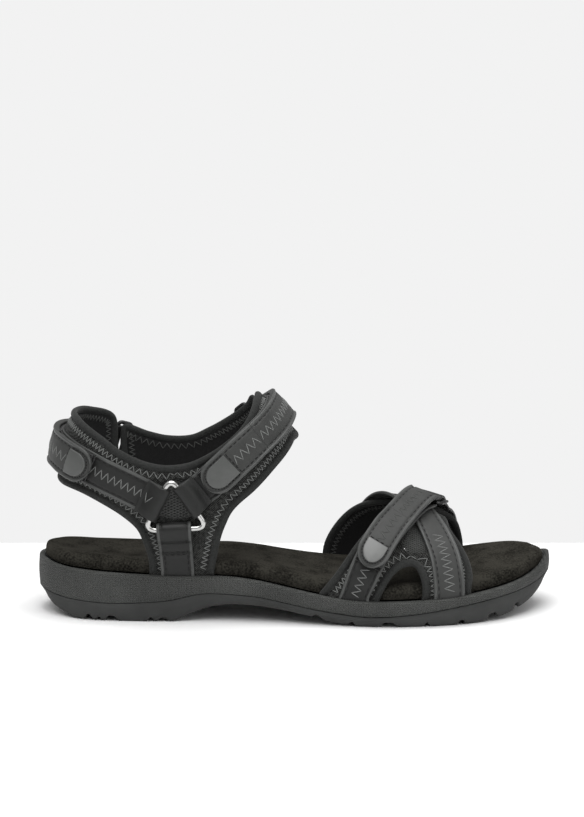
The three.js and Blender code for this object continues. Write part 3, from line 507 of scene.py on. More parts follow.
def circleRows(points, out, up, radius, turns):  # a ring of points round each point of a path
    c, s = np.cos(turns)[:, None], np.sin(turns)[:, None]
    return points[..., None, :] + radius * (c * out[..., None, :] + s * up[..., None, :])


def tube(points, normal, radius, sides=14):  # closed wire
    along = unit(np.roll(points, -1, 0) - np.roll(points, 1, 0))
    out = unit(np.cross(along, normal))
    turns = 2 * np.pi * np.arange(sides) / sides
    return skin(circleRows(points, out, np.cross(out, along), radius, turns), True)


def roundedLoop(corners, bend, steps):
    n = len(corners)
    out = []
    for i, c in enumerate(corners):
        before = c + unit(corners[i - 1] - c) * bend
        after = c + unit(corners[(i + 1) % n] - c) * bend
        t = np.linspace(0, 1, steps)[:, None]
        out.append(before * (1 - t) ** 2 + 2 * c * t * (1 - t) + after * t * t)
    return resample(np.vstack(out + [out[0][:1]]), 0.6)[:-1]


# straps: strapLook holds the section, with a raised piping and a sewn groove inside each edge
strapLook = {
    "bead": 0.42, "beadAt": 0.75, "beadWidth": 0.42, "seamGroove": 0.3, "seamAt": 2.3, "seamWidth": 0.45,
    "crown": 0.15, "corner": 0.5, "step": 0.8, "tipDepth": 8, "tipRows": 16,
    "across": [0, 0.25, 0.5, 0.75, 1.0, 1.35, 1.7, 2.0, 2.4, 2.8, 3.4, 4.6, 6.2],  # from the edge inwards
}
plain = {"bead": 0.0, "seamGroove": 0.0}


def roundTip(width, depth):
    def at(s, total):
        left = np.clip((total - s) / depth, 0, 1)
        return np.maximum(width * 0.12, width * np.sqrt(np.maximum(0, 1 - (1 - left) ** 2)))
    return at


class Strap:  # a flat strap laid on a band; line is its middle in (s, h), side -1 where it runs back
    def __init__(self, band, line, thick, width, look=None, side=1, tipRows=False):
        self.band, self.thick, self.look, self.side = band, thick, {**strapLook, **(look or {})}, side
        path = []
        for a, b in zip(line[:-1], line[1:]):  # long stretches get extra points, so the curve stays flat there
            pieces = max(1, int(np.hypot(b[0] - a[0], b[1] - a[1]) / 5))
            path += [[p + (q - p) * k / pieces for p, q in zip(a, b)] for k in range(pieces)]
        path.append(line[-1])
        self.fine = smoothPath(path, 8)
        self.reach = lengthsOf(self.fine)
        self.total = self.reach[-1]
        rows = np.linspace(0, self.total, max(3, int(self.total / self.look["step"])))
        if tipRows:
            tip, turn = self.look["tipDepth"], np.linspace(0, np.pi / 2, self.look["tipRows"])
            rows = np.r_[rows[rows < self.total - tip], self.total - tip * (1 - np.sin(turn))]
        self.rows = rows
        self.width = width if callable(width) else (lambda s, total: width + 0 * s)

    def middle(self, a):
        return np.interp(a, self.reach, self.fine[:, 0]), np.interp(a, self.reach, self.fine[:, 1])

    def place(self, a, c, k):  # a along the strap, c across, k out of its middle
        a, c, k = (np.asarray(x, float).ravel() for x in np.broadcast_arrays(a, c, k))
        s0, h0 = self.middle(np.clip(a - 0.3, 0, self.total))
        s1, h1 = self.middle(np.clip(a + 0.3, 0, self.total))
        size = np.hypot(s1 - s0, h1 - h0)
        s, h = self.middle(a)
        return self.band["at"](s - (h1 - h0) / size * k * self.side, c, h + (s1 - s0) / size * k * self.side)

    def topOf(self, c, half):
        look = self.look
        fromEdge = half - np.abs(c)
        return (self.thick / 2 + look["bead"] * np.exp(-((fromEdge - look["beadAt"]) / look["beadWidth"]) ** 2)
                - look["seamGroove"] * np.exp(-((fromEdge - look["seamAt"]) / look["seamWidth"]) ** 2)
                + look["crown"] * (1 - (c / np.maximum(half, 0.1)) ** 2) * (fromEdge > 0))

    def section(self, w, corner):  # the outline across the strap where it is 2 w wide
        leave = [(math.sin(t), 1 - math.cos(t)) for t in np.radians([30, 60, 90])]
        enter = [(math.cos(t), 1 - math.sin(t)) for t in np.radians([0, 30, 60])]
        inner = max(0.15, w - corner)
        step = np.array(self.look["across"]) * min(1.0, inner / 8.0)
        top, low = self.topOf(inner, w), -self.thick / 2

        def bend(side, level, way, turns):
            return [(side * (inner + corner * p), level + way * corner * q) for p, q in turns]
        return ([(x, self.topOf(x, w)) for x in np.r_[-inner + step, 0, (inner - step)[::-1]]]
                + bend(1, top, -1, leave) + bend(1, low, 1, enter)
                + [(x, low) for x in np.linspace(inner, -inner, 6)]
                + bend(-1, low, 1, leave) + bend(-1, top, -1, enter))

    def build(self, name, finish, highlightPiping=True):
        corner = np.minimum(self.look["corner"], self.thick / 2 * 0.95)
        ring = np.array([self.section(w, corner) for w in self.width(self.rows, self.total) / 2])
        count = ring.shape[1]
        points = self.place(np.repeat(self.rows, count), ring[..., 0].ravel(), ring[..., 1].ravel())
        points, faces = skin(points.reshape(len(self.rows), -1, 3))
        lane = np.arange(len(faces) - 2) % count  # the raised piping and the cut edge get painted highlight, a lighter copy of the strap leather
        edge = (lane < 4) | ((lane >= 22) & (lane < 28)) | (lane >= count - 2)
        # painted highlight: the piping lanes take the lighter copy of the strap leather
        second = ("leatherEdge", np.r_[edge, False, False]) if highlightPiping else None
        return facing(meshFrom(name, points, faces, finish, second=second))

    def seat(self, a, c, back=False):  # point on the outer face, or the plain one, and its normal
        a, c = (np.asarray(x, float).ravel() for x in np.broadcast_arrays(a, c))
        k = -self.thick / 2 if back else self.topOf(c, self.width(a, self.total) / 2)
        p = self.place(a, c, k)
        return p, unit(self.place(a, c, k + (-0.3 if back else 0.3)) - p)


def sew(name, starts, ends, normals, finish, radius=0.26, lift=0.16, sink=0.1, sides=6):  # a bridge per pair
    t = np.linspace(0, 1, 6)
    arch = np.sin(np.pi * t)
    along = ends - starts
    across = unit(np.cross(along, normals))
    rise = normals[:, None] * (lift * arch - sink)[None, :, None]
    middle = starts[:, None] + along[:, None] * t[None, :, None] + rise
    swell = radius * (0.45 + 0.55 * arch ** 0.5)[None, :, None, None]
    rings = circleRows(middle, across[:, None], normals[:, None], swell, 2 * np.pi * np.arange(sides) / sides)
    faces = []
    for i in range(len(starts)):
        base = i * len(t) * sides
        for q in range(base, base + (len(t) - 1) * sides, sides):
            faces += [(q + k, q + (k + 1) % sides, q + sides + (k + 1) % sides, q + sides + k)
                      for k in range(sides)]
        faces.append(tuple(base + k for k in range(sides))[::-1])
        faces.append(tuple(base + (len(t) - 1) * sides + k for k in range(sides)))
    return meshFrom(name, rings.reshape(-1, 3), faces, finish, sharp=0)


def zigzag(strap, name, start, stop, swing=2.4, finish="thread", back=False):
    count = max(2, int((stop - start) / 1.65))
    a = np.linspace(start, stop, count)
    p, n = strap.seat(a, swing * np.where(np.arange(count) % 2, 1, -1), back)
    return sew(name, p[:-1], p[1:], unit(n[:-1] + n[1:]), finish, 0.24)


def dashes(strap, name, lines, length=2.3, gap=0.9):  # lines: [(a, c), (a, c)] stretches of dashed seam
    rows = []
    for (a0, c0), (a1, c1) in lines:
        reach = math.hypot(a1 - a0, c1 - c0)
        count = max(1, int(reach / (length + gap)))
        at = np.arange(count) * reach / count
        ends = [strap.seat(a0 + (a1 - a0) * x, c0 + (c1 - c0) * x)
                for x in (at / reach, (at + reach / count - gap) / reach)]
        (p, n), (q, m) = ends
        rows.append((p, q, unit(n + m)))
    starts, ends, normals = (np.vstack(x) for x in zip(*rows))
    return sew(name, starts, ends, normals, "threadDark", 0.3, 0.1, 0.08)


def edgeRows(strap, inset=2.4, start=0.6, stop=None):
    stop = strap.total - 0.6 if stop is None else stop
    half = float(strap.width(np.array([strap.total * 0.3]), strap.total)[0]) / 2 - inset
    return [((start, half), (stop, half)), ((start, -half), (stop, -half))]


def arc(s, h, r, start, stop, n):
    a = np.radians(np.linspace(start, stop, n + 1))
    return [[s + r * math.cos(x), h + r * math.sin(x)] for x in a]


def turnAt(wire):  # radius of a strap's middle round a wire
    return wire + slack + strapThick / 2


def loopLine(short, far, wire):
    r, resting = turnAt(wire), strapMid + strapThick + gap
    return [[short, strapMid], *arc(0, strapMid + r, r, 270, 90, 6), [short * 0.45, strapMid + 1.6 * r],
            [short * 0.8, resting], [short + 1, resting], [short + 4, strapMid], [far, strapMid]]


def loopStart(wire):
    r, resting = turnAt(wire), strapMid + strapThick + 0.25
    return [[8.6, resting], [6.6, resting + 0.2], [3.4, strapMid + 1.7 * r],
            *arc(0, strapMid + r, r, 90, 270, 6)]


def wireBuckle(name, band, s, h, width, wire, nodes):
    reach, bars = width / 2 + wire + 0.9, 6.4
    corners = band["at"](np.array([s, s + bars, s + bars, s]), np.array([-reach, -reach, reach, reach]), h)
    normal = unit(np.cross(corners[1] - corners[0], corners[3] - corners[0]))
    points, faces = tube(roundedLoop(corners, 1.9, 8), normal, wire)
    return settle(facing(meshFrom(name, points, faces, "wire")), "sandal", nodes)


def tipPath(tab, start, inset, depth=8):  # points (along, across) that follow the rounded tip at an inset
    total = tab.total
    half = float(tab.width(np.array([0.0]), total)[0]) / 2 - inset
    straight = [(start + 0.4, -half), ((start + total - depth) / 2, -half)]
    turn = np.linspace(-np.pi / 2, np.pi / 2, 15)
    pts = straight + [(total - depth + (depth - inset) * math.cos(t), half * math.sin(t)) for t in turn]
    return pts + [(a, -c) for a, c in straight[::-1]]


def closure(cfg):  # run, folded-back return, tab end, patch, hook pad, loop pad and buckle of one strap
    name, band, wire, mid, width = (cfg[k] for k in ("name", "band", "wire", "mid", "width"))
    bar, seam, tip, layers, swing = (cfg[k] for k in ("barAt", "seam", "tip", "layers", "swing"))
    r, foldTop, threads = turnAt(wire), cfg["foldTop"], cfg["zigzag"]
    line = [*cfg["start"], [bar, mid], *arc(bar, mid + r, r, -90, 90, 6), [bar - foldTop, mid + 2 * r]]
    run = Strap(band, line, strapThick, width, {"bead": 0.3, "crown": 0.0})
    leather(run.build(f"{name}StrapRun", "leather"), "sandal", f"{name}_strap_run")
    for part, first, last, onBack in cfg["runSewing"]:
        leather(zigzag(run, f"{name}Run{part}", first, last, swing, back=onBack))
    if cfg["runSewing"]:
        first, last = cfg["runSewing"][0][1:3]
        leather(dashes(run, f"{name}RunSeams", edgeRows(run, 2.3, first, last + 4)))
    begin = bar - foldTop - 0.5

    def rise(s):
        return cfg["bulge"] * math.exp(-(((s - begin) / 16) ** 2))

    def laid(start, stop, layer, wide, look, side=1, extra=0.0, tipRows=False):
        low, high = layers[layer]
        n = max(1, round(abs(stop - start) / 4.4))
        at = [start + (stop - start) * i / n for i in range(n + 1)]
        path = [[s, (low + high) / 2 + rise(s)] for s in at]
        return Strap(band, path, high - low + extra, wide, look, side, tipRows)

    foldAt = band["at"](np.array([begin + 0.25, begin - 7]), 0, layers["back"][1] + rise(begin))
    seamAt = band["at"](np.array([seam + 0.25, seam - 5.5]), 0, layers["tab"][1])
    overFold = ("sandal", f"{name}_strap", *foldAt)
    overSeam = (f"{name}_strap", f"{name}_tab", *seamAt)
    back = laid(begin + 0.4, seam + 0.3, "back", width, {"crown": 0.25, "corner": 0.6}, -1)
    # built in the lighter strap leather: painted light
    obj = leather(back.build(f"{name}StrapReturn", "leatherSoft"), overFold, f"{name}_strap_return")
    leather(zigzag(back, f"{name}ReturnZigzag", 3.5, back.total - 0.4, swing, threads), overFold)
    leather(dashes(back, f"{name}ReturnSeams", edgeRows(back)), overFold)

    def tabWidth(s, total):
        return roundTip(1, 8)(s, total) * (width + 0.8 * ease((s - 2) / 8))

    tab = laid(seam + 0.2, tip, "tab", tabWidth, {"crown": 0.25, "corner": 0.5}, -1, tipRows=True)
    # built in the lighter strap leather: painted light
    leather(tab.build(f"{name}TabEnd", "leatherSoft"), overSeam, f"{name}_tab_end")
    patchLength = cfg["patchLength"]
    patchStart = seam - tip - patchLength
    half = width / 2 - 2.0
    if patchStart > 3:
        leather(zigzag(tab, f"{name}TabZigzag", 0.9, patchStart - 1.2, swing, threads), overSeam)
    rows = [((0.8, c), (patchStart, c)) for c in (half, -half)] if patchStart > 2 else []
    rows.append(((patchStart - 0.6, -half), (patchStart - 0.6, half)))
    leather(dashes(tab, f"{name}TabSeams", rows, 1.7, 0.7), overSeam)
    patch = laid(tip + patchLength - 0.2, tip + 2.3, "patch", roundTip(width - 4.6, 6.2),
                 {**plain, "crown": 0.35, "corner": 0.45}, -1, 0.1, True)
    settle(patch.build(f"{name}TabPatch", cfg["patchFinish"], False), f"{name}_tab",
           [f"{name}_tab_patch"])
    ring = tipPath(tab, patchStart, 1.75)
    leather(dashes(tab, f"{name}PatchSeam", list(zip(ring[:-1], ring[1:])), 1.35, 0.55), f"{name}_tab")
    pads = (("Hook", seam - 1, tip + 2.5, overSeam), ("Loop", cfg["pileFrom"], bar - 9, "sandal"))
    for part, start, stop, body in pads:
        layer = part.lower()
        pad = laid(start, stop, layer, width - 2, {**plain, "corner": 0.3})
        settle(pad.build(f"{name}{part}Pad", "pile", False), body, [f"{name}_{layer}_pad"])
    wireBuckle(f"{name}Buckle", band, bar, mid + r, width, wire, [f"{name}_buckle"])


# padded pieces: thickness, bound edge, sewn channel inside it, and the soft field
padLook = {
    "thick": 2.4, "bindWide": 3.6, "bindProud": 0.5, "puff": 0.55, "seamDip": 0.35, "seamAt": 5.6, "edgeStep": 1.3,
    "fill": 2.6, "fillFrom": 8.6, "middle": 1.2, "wrinkle": 0.12, "wrinkleSize": 17, "fieldDrop": 0.75,
    "ringsIn": [0.25, 0.7, 1.3, 1.9, 2.5, 3.0, 3.4, 3.8, 4.3, 5.2, 6.4, 8.0],
    "stitchNear": 4.0, "stitchFar": 7.0, "stitchPitch": 1.25,
}


def bindRoll(d, height):  # half round of the bound edge, at distance d from the rim
    b = padLook["bindWide"] / 2
    return height * np.sqrt(np.maximum(0, 1 - ((d - b) / b) ** 2))


def padTop(d):
    thick, wide, drop = padLook["thick"], padLook["bindWide"], padLook["fieldDrop"]
    roll = thick / 2 + bindRoll(d, thick / 2 + padLook["bindProud"] - 0.15)
    field = (thick - drop + (drop + padLook["puff"]) * ease((d - wide + 0.2) / 3.2)
             - padLook["seamDip"] * np.exp(-((d - padLook["seamAt"]) / 1.1) ** 2))
    return np.where(d < wide - 0.25, roll, np.maximum(field, np.where(d < wide, roll, 0)))


def padBottom(d):
    roll = padLook["thick"] / 2 - bindRoll(d, padLook["thick"] / 2 + 0.15)
    return np.where(d < padLook["bindWide"], roll, np.where(d < padLook["bindWide"] + 0.8, 0.25, 0.0))


def flatten(form, uv):  # near-true millimetres for laying out a piece
    return uv * form["flat"]


def unflatten(form, xy):
    return xy / form["flat"]


def overFlat(form, xy, h):
    return over(form, *unflatten(form, xy).T, h)


def insideOf(loop, pts):
    x, y = pts[:, 0][:, None], pts[:, 1][:, None]
    a, b = loop, np.roll(loop, -1, 0)
    share = (y - a[:, 1]) / (b[:, 1] - a[:, 1] + 1e-12)
    crosses = ((a[:, 1] > y) != (b[:, 1] > y)) & (x < (b[:, 0] - a[:, 0]) * share + a[:, 0])
    return crosses.sum(1) % 2 == 1


def nearest(loopPts, pts):  # distance to a dense set of points
    best = np.full(len(pts), 1e9)
    for i in range(0, len(pts), 2000):
        best[i:i + 2000] = np.sqrt(((pts[i:i + 2000, None] - loopPts[None]) ** 2).sum(2)).min(1)
    return best


def isBase(form, uv):  # on or below the line where the form meets the sole
    if form is ankle:
        return uv[:, 1] < ankle["low"](uv[:, 0]) + 0.4
    return (uv[:, 1] < 0.1) | (uv[:, 1] > 179.9)


def outlineOf(form, outline):  # smooth outline whose foot runs 3 mm down into the sole
    pts = np.array(outline, float)
    base = isBase(form, np.c_[pts[:, 0], pts[:, 1] - (1.2 if form is ankle else 0)])
    n = len(pts)
    start = next(i for i in range(n) if base[i] and not base[(i + 1) % n])
    down = np.degrees(3.0 / 44)
    out, stretch = [], [start]
    for k in range(1, n + 1):
        i = (start + k) % n
        stretch.append(i)
        if base[i]:
            if len(stretch) > 2:
                line = smoothPath(pts[stretch], 14)
                ends = line[[0, -1]]
                ends[:, 1] += -3.0 if form is ankle else np.where(ends[:, 1] < 90, -down, down)
                out += [ends[0], *line, ends[1]]
            stretch = [i]
    return np.array(out)


def layPad(name, form, outline, holes, nodes, seed):
    mid = padLook["middle"]
    loops = [outlineOf(form, outline)] + [smoothPath(h, 10, closed=True) for h in holes]
    flat = [flatten(form, np.vstack([l, l[:1]])) for l in loops]
    outer, *holes = [resample(l, padLook["edgeStep"])[:-1] for l in flat]
    following = np.roll(outer, -1, 0)
    if sum(outer[:, 0] * following[:, 1] - following[:, 0] * outer[:, 1]) < 0:
        outer = outer[::-1]
    free = ~isBase(form, unflatten(form, outer))
    edge = overFlat(form, outer[free], mid)
    close = np.linalg.norm(np.diff(edge, axis=0), axis=1) < 3
    dense = np.vstack([edge, (0.5 * (edge[:-1] + edge[1:]))[close]])
    tangent = unit(np.roll(outer, -1, 0) - np.roll(outer, 1, 0))
    inward = np.c_[-tangent[:, 1], tangent[:, 0]]
    stretch = overFlat(form, outer + 0.5 * inward, mid) - overFlat(form, outer, mid)
    metric = np.linalg.norm(stretch, axis=1) / 0.5
    cloud = [outer]
    for d in padLook["ringsIn"]:
        ring = outer + inward * (d / np.maximum(0.4, metric))[:, None]
        keep = (nearest(dense, overFlat(form, ring, mid)) > d * 0.93) & insideOf(outer, ring) & free
        if d > 4:
            keep &= np.arange(len(ring)) % 2 == 0
        cloud.append(ring[keep])
    low, high, step = outer.min(0), outer.max(0), padLook["fill"]
    gx, gy = np.meshgrid(np.arange(low[0], high[0], step), np.arange(low[1], high[1], step * 0.87))
    gx = gx + (np.arange(gx.shape[0]) % 2)[:, None] * step / 2
    grid = np.c_[gx.ravel(), gy.ravel()]
    grid = grid[insideOf(outer, grid)]
    away = nearest(dense, overFlat(form, grid, mid))
    cloud.append(grid[(away > padLook["fillFrom"]) & (nearest(outer, grid) > 1.2)])
    for hole in holes:
        cloud = [c[~insideOf(hole, c)] if i else c for i, c in enumerate(cloud)]
        cloud.append(hole)
    points = np.vstack(cloud)
    edges = []
    firsts = [0] + [len(points) - sum(map(len, holes[i:])) for i in range(len(holes))]
    for loop, first in zip([outer, *holes], firsts):
        edges += [(first + i, first + (i + 1) % len(loop)) for i in range(len(loop))]
    made = geometry.delaunay_2d_cdt([Vector(p) for p in points], edges, [], 0, 1e-5)
    pts, tris = np.array([tuple(v) for v in made[0]]), np.array(made[2])
    centres = pts[tris].mean(1)
    keep = insideOf(outer, centres)
    for hole in holes:
        keep &= ~insideOf(hole, centres)
    used, tris = np.unique(tris[keep], return_inverse=True)
    pts, tris = pts[used], tris.reshape(-1, 3)
    d = nearest(dense, overFlat(form, pts, mid))
    d = np.where(d < 0.15, 0, d)
    creases = ripple(overFlat(form, pts, 0), padLook["wrinkleSize"], seed) * ease((d - 5) / 5)
    top = overFlat(form, pts, padTop(d) + padLook["wrinkle"] * creases)
    bottom = overFlat(form, pts, np.minimum(padBottom(d), padTop(d)))
    n = len(pts)
    directed = {(a, b) for t in tris for a, b in ((t[0], t[1]), (t[1], t[2]), (t[2], t[0]))}
    walls = [(b, a, a + n, b + n) for a, b in directed if (b, a) not in directed]
    faces = [tuple(t) for t in tris] + [tuple(t[::-1] + n) for t in tris] + walls
    finish = np.array([0] * len(tris) + [1] * len(tris) + [0] * len(walls))
    bound = np.array([0.5 * (d[f[0] % n] + d[f[1] % n]) < padLook["bindWide"] - 0.2 for f in faces])
    obj = facing(meshFrom(name, np.vstack([top, bottom]), faces, "knit", second=("lining", finish)))
    obj.data.materials.append(finishes["binding"])
    obj.data.polygons.foreach_set("material_index", np.where(bound, 2, finish).astype(np.int32))
    settle(obj, "sandal", nodes)
    for part, inside in (("Overlock", False), ("OverlockInside", True)):
        sewEdge(name + part, form, outer, inward, metric, free, dense, holes, inside)


def sewEdge(name, form, outer, inward, metric, free, dense, holes, inside):
    near, far = padLook["stitchNear"], padLook["stitchFar"]
    loop = np.vstack([outer, outer[:1]])
    reach = lengthsOf(loop)
    count = int(reach[-1] / padLook["stitchPitch"])
    s = np.linspace(0, reach[-1], count, endpoint=False)
    i = np.clip(np.searchsorted(reach, s, side="right") - 1, 0, len(outer) - 1)
    t = ((s - reach[i]) / (reach[i + 1] - reach[i]))[:, None]
    p = loop[i] * (1 - t) + loop[i + 1] * t
    way = unit(inward[i] * (1 - t) + inward[(i + 1) % len(outer)] * t)
    depth = np.where(np.arange(count) % 2, near, far)
    for _ in range(2):  # where a window is close, the stitches stay short
        q = unflatten(form, p + way * (depth / np.maximum(0.4, metric[i]))[:, None])
        for hole in holes:
            tight = insideOf(hole, flatten(form, q)) | (nearest(hole, flatten(form, q)) < 0.8)
            depth = np.where(tight, near + 1.2, depth)
    away = nearest(dense, over(form, q[:, 0], q[:, 1], padLook["middle"]))
    ok = free[i] & (away > near * 0.8) & insideOf(outer, flatten(form, q))
    for hole in holes:
        ok &= ~insideOf(hole, flatten(form, q)) & (nearest(hole, flatten(form, q)) > 0.4)
    if form is ankle:
        ok &= q[:, 1] > ankle["low"](q[:, 0]) + 1.0
    else:
        ok &= (q[:, 1] > 1) & (q[:, 1] < 179)
    h = -0.02 + 0 * away if inside else padTop(np.maximum(away, near)) + 0.05
    pos = over(form, q[:, 0], q[:, 1], h)
    nrm = unit(over(form, q[:, 0], q[:, 1], h + (-0.3 if inside else 0.3)) - pos)
    gaps = np.linalg.norm(pos[:-1] - pos[1:], axis=1)
    linked = set(np.nonzero(ok[:-1] & ok[1:] & (gaps > 1.4) & (gaps < 5.5))[0])
    a = np.array([k for k in sorted(linked) if {k - 1, k + 1} & linked])
    finish = "threadTone" if inside else "thread"
    obj = sew(name, pos[a], pos[a + 1], unit(nrm[a] + nrm[a + 1]), finish, 0.22, 0.12, 0.06)
    settle(obj, "sandal")


meshLook = {"reach": 1.12, "slant": 32, "height": 1.2}


def lattice(name, form, outline, pitch, yarn, nodes):  # open mesh: two sets of slanting yarns
    outline = np.array(outline, float)  # it is caught under the window's edge, so it is larger
    outline = outline.mean(0) + (outline - outline.mean(0)) * meshLook["reach"]
    loop = flatten(form, smoothPath(outline, 10, closed=True))
    low, high = loop.min(0) - 2, loop.max(0) + 2
    size = np.linalg.norm(high - low)
    points, faces = [], []
    for sign in (1, -1):
        turn = sign * math.radians(meshLook["slant"])
        way, side = np.array([math.cos(turn), math.sin(turn)]), np.array([-math.sin(turn), math.cos(turn)])
        for k in np.arange(-size, size, pitch):
            line = (low + high) / 2 + way * np.arange(-size, size, pitch / 3)[:, None] + side * k
            index = np.nonzero(insideOf(loop, line))[0]
            if len(index) > 3:
                part = line[index[0]:index[-1] + 1]
                row = overFlat(form, part, meshLook["height"])
                along = unit(np.gradient(row, axis=0))
                up = unit(np.cross(along, unit(np.cross(along, [0.3, -1, 0.5]))))
                ring = circleRows(row, np.cross(along, up), up, yarn, np.pi / 2 * np.arange(4) + 0.4)
                p, f = skin(ring)
                at = sum(map(len, points))
                faces += [tuple(i + at for i in q) for q in f]
                points.append(p)
    settle(facing(meshFrom(name, np.vstack(points), faces, "mesh")), "sandal", nodes)


# sole
soleLook = {
    "stations": 300, "treadStep": 0.55, "heelTread": [-47, 6], "foreTread": [6, 8], "across": (44, 8, 36),
    # position, width, depth and slant in degrees
    "grooves": [[-111, 3, 3, 20], [-101, 2.4, 2.2, 10], [-90, 5, 2.8, 0], [-76, 2.8, 2.6, 20],
                [-64, 2.6, 2.4, -12], [22, 3, 2, -16], [36, 2.6, 2.4, -12], [50, 6.4, 2.6, -6],
                [64, 2.6, 2.4, 0], [77, 2.6, 2.4, 6], [90, 4.6, 3, 12], [101.5, 3, 3.2, 18]],
    # how far the side stands out, from the bottom, 0, to the top, 1
    "outsoleSide": [[0, 0.90], [0.15, 0.925], [0.4, 0.945], [0.75, 0.962], [1, 0.965]],
    "midsoleSide": [[0, 0.967], [0.06, 0.975], [0.25, 0.99], [0.55, 1.003], [0.85, 1.004], [1, 1.0]],
    # inset, and drop below the rim
    "midsoleTop": ((0.15, 0.2), (0.5, 0.0), (1.0, 0.0), (2.5, 0.0), (4.2, 0.05), (4.8, 0.5), (5.2, 0.9)),
    # inset, and height above the rim
    "footbedEdge": ((6.2, 0.3), (6.15, 1.5), (6.2, 2.8), (6.4, 3.9), (6.8, 4.8), (7.4, 5.5), (8.2, 6.1),
                    (9.4, 6.5), (11.5, 6.8)),
    "footbedToe": 117,
}
stationShare = 0.5 - 0.5 * np.cos(np.pi * np.linspace(0.012, 0.988, soleLook["stations"]))
halfLoop = np.linspace(0, 1, len(outerLine))


def edgePair(inset, scaleX, scaleY):
    outer, inner = (np.stack([np.interp(stationShare, halfLoop, line[:, k]) for k in (0, 1)], 1)
                    for line in (outerLine, innerLine))
    narrow = 0.5 + 0.5 * ease((outer[:, 0] + 121) / 20) * ease((117 - outer[:, 0]) / 22)
    drawn = inset * narrow * np.minimum(1, (inner[:, 1] - outer[:, 1]) / 30)
    shrink = scaleX * (1 - 0.5 * inset / 127)
    return (np.c_[outer[:, 0] * shrink, (outer[:, 1] + drawn) * scaleY],
            np.c_[inner[:, 0] * shrink, (inner[:, 1] - drawn) * scaleY])


def sideOf(x, y, side):  # 0 on the outer side, 1 on the inner side, turning smoothly round the toe
    w = ease((x - 108) / 14)
    return (1 - w) * side + w * np.clip((y + 16) / 46, 0, 1)


def soleSolid(name, rows, across, dishes, finish):
    edges = ([], [])
    for row in rows:
        pair = edgePair(row.get("inset", 0), *row.get("scale", (1, 1)))
        for side, (line, way) in enumerate(zip(pair, (-1, 1))):
            if "push" in row:
                line[:, 1] += way * row["push"](line[:, 0], row)
            x, y = line.T
            edges[side].append(np.c_[line, row["height"](x, sideOf(x, y, side))])
    lefts, rights = edges

    def cross(a, b, dish):
        f = ((np.arange(across) + 1) / (across + 1))[None, :, None]
        mid = a[:, None] * (1 - f) + b[:, None] * f
        mid[..., 2] = dish(mid[..., 0], mid[..., 1], f[..., 0], mid[..., 2])
        return mid

    bottom = cross(lefts[0], rights[0], dishes[0])
    top = cross(lefts[-1], rights[-1], dishes[1])[:, ::-1]
    ring = np.concatenate([np.stack(lefts[::-1], 1), bottom, np.stack(rights, 1), top], 1)
    points, faces = skin(ring)
    run = lengthsOf(ring[:, len(rows) - 1])
    uvs = np.stack([np.repeat(run, ring.shape[1]), ring[..., 2].ravel()], 1)
    return facing(meshFrom(name, points, faces, finish, uvs))


def profile(keys, count):  # rows that follow a smooth side line: q from 0 to 1
    q = np.linspace(0, 1, count)
    return [(float(t), float(through(keys)(t))) for t in q]


def noDish(x, y, f, z):
    return z


def cup(x):
    return 1.8 * np.exp(-(((x + 80) / 45) ** 2)) + 1.2 * np.exp(-(((x - 60) / 35) ** 2))


def carve(x, y):  # depth of the tread grooves
    deep = np.zeros(np.broadcast(x, y).shape)
    for at, wide, depth, slant in soleLook["grooves"]:
        turn = math.radians(slant)
        off = np.abs((x - at) * math.cos(turn) + y * math.sin(turn))
        deep = np.maximum(deep, depth * ease((wide / 2 + 0.55 - off) / 1.1))
    return deep


def treadPush(x, row):  # the tread blocks stand proud of the arch
    q, (heelAt, heelSlope), (foreAt, foreSlope) = row["q"], soleLook["heelTread"], soleLook["foreTread"]
    heel = ease((heelAt - heelSlope * q - x) / 1.6)
    toe = ease((x - foreAt + foreSlope * (1 - q)) / 1.6)
    return soleLook["treadStep"] * np.maximum(heel, toe) * (1 - ease((q - 0.8) / 0.2))


def tread(x, y, f, z):
    fine = 0.35 * (np.abs(((x + 0.4 * y) / 4.2) % 1 - 0.5) < 0.16) * (np.abs(y) > 12)
    return underside(x) + carve(x, y) + fine * ease((1 - np.abs(f - 0.5) * 2.1) / 0.1)


def footShape(x, y, f, z):  # heel cup, arch rise on the inner side, metatarsal pad
    arch = 1.6 * np.exp(-(((x + 22) / 28) ** 2)) * ease((f - 0.6) / 0.35)
    pad = 0.9 * np.exp(-(((x - 12) / 16) ** 2) - ((f - 0.5) / 0.25) ** 2)
    worn = 0.16 * np.sin(x * 0.31 + 2 * np.sin(y * 0.17)) * np.sin(y * 0.29 + 1.5 * np.sin(x * 0.13))
    return z - cup(x) * np.sin(np.pi * f) ** 0.7 + arch * np.sin(np.pi * f) + pad + worn * np.sin(np.pi * f)


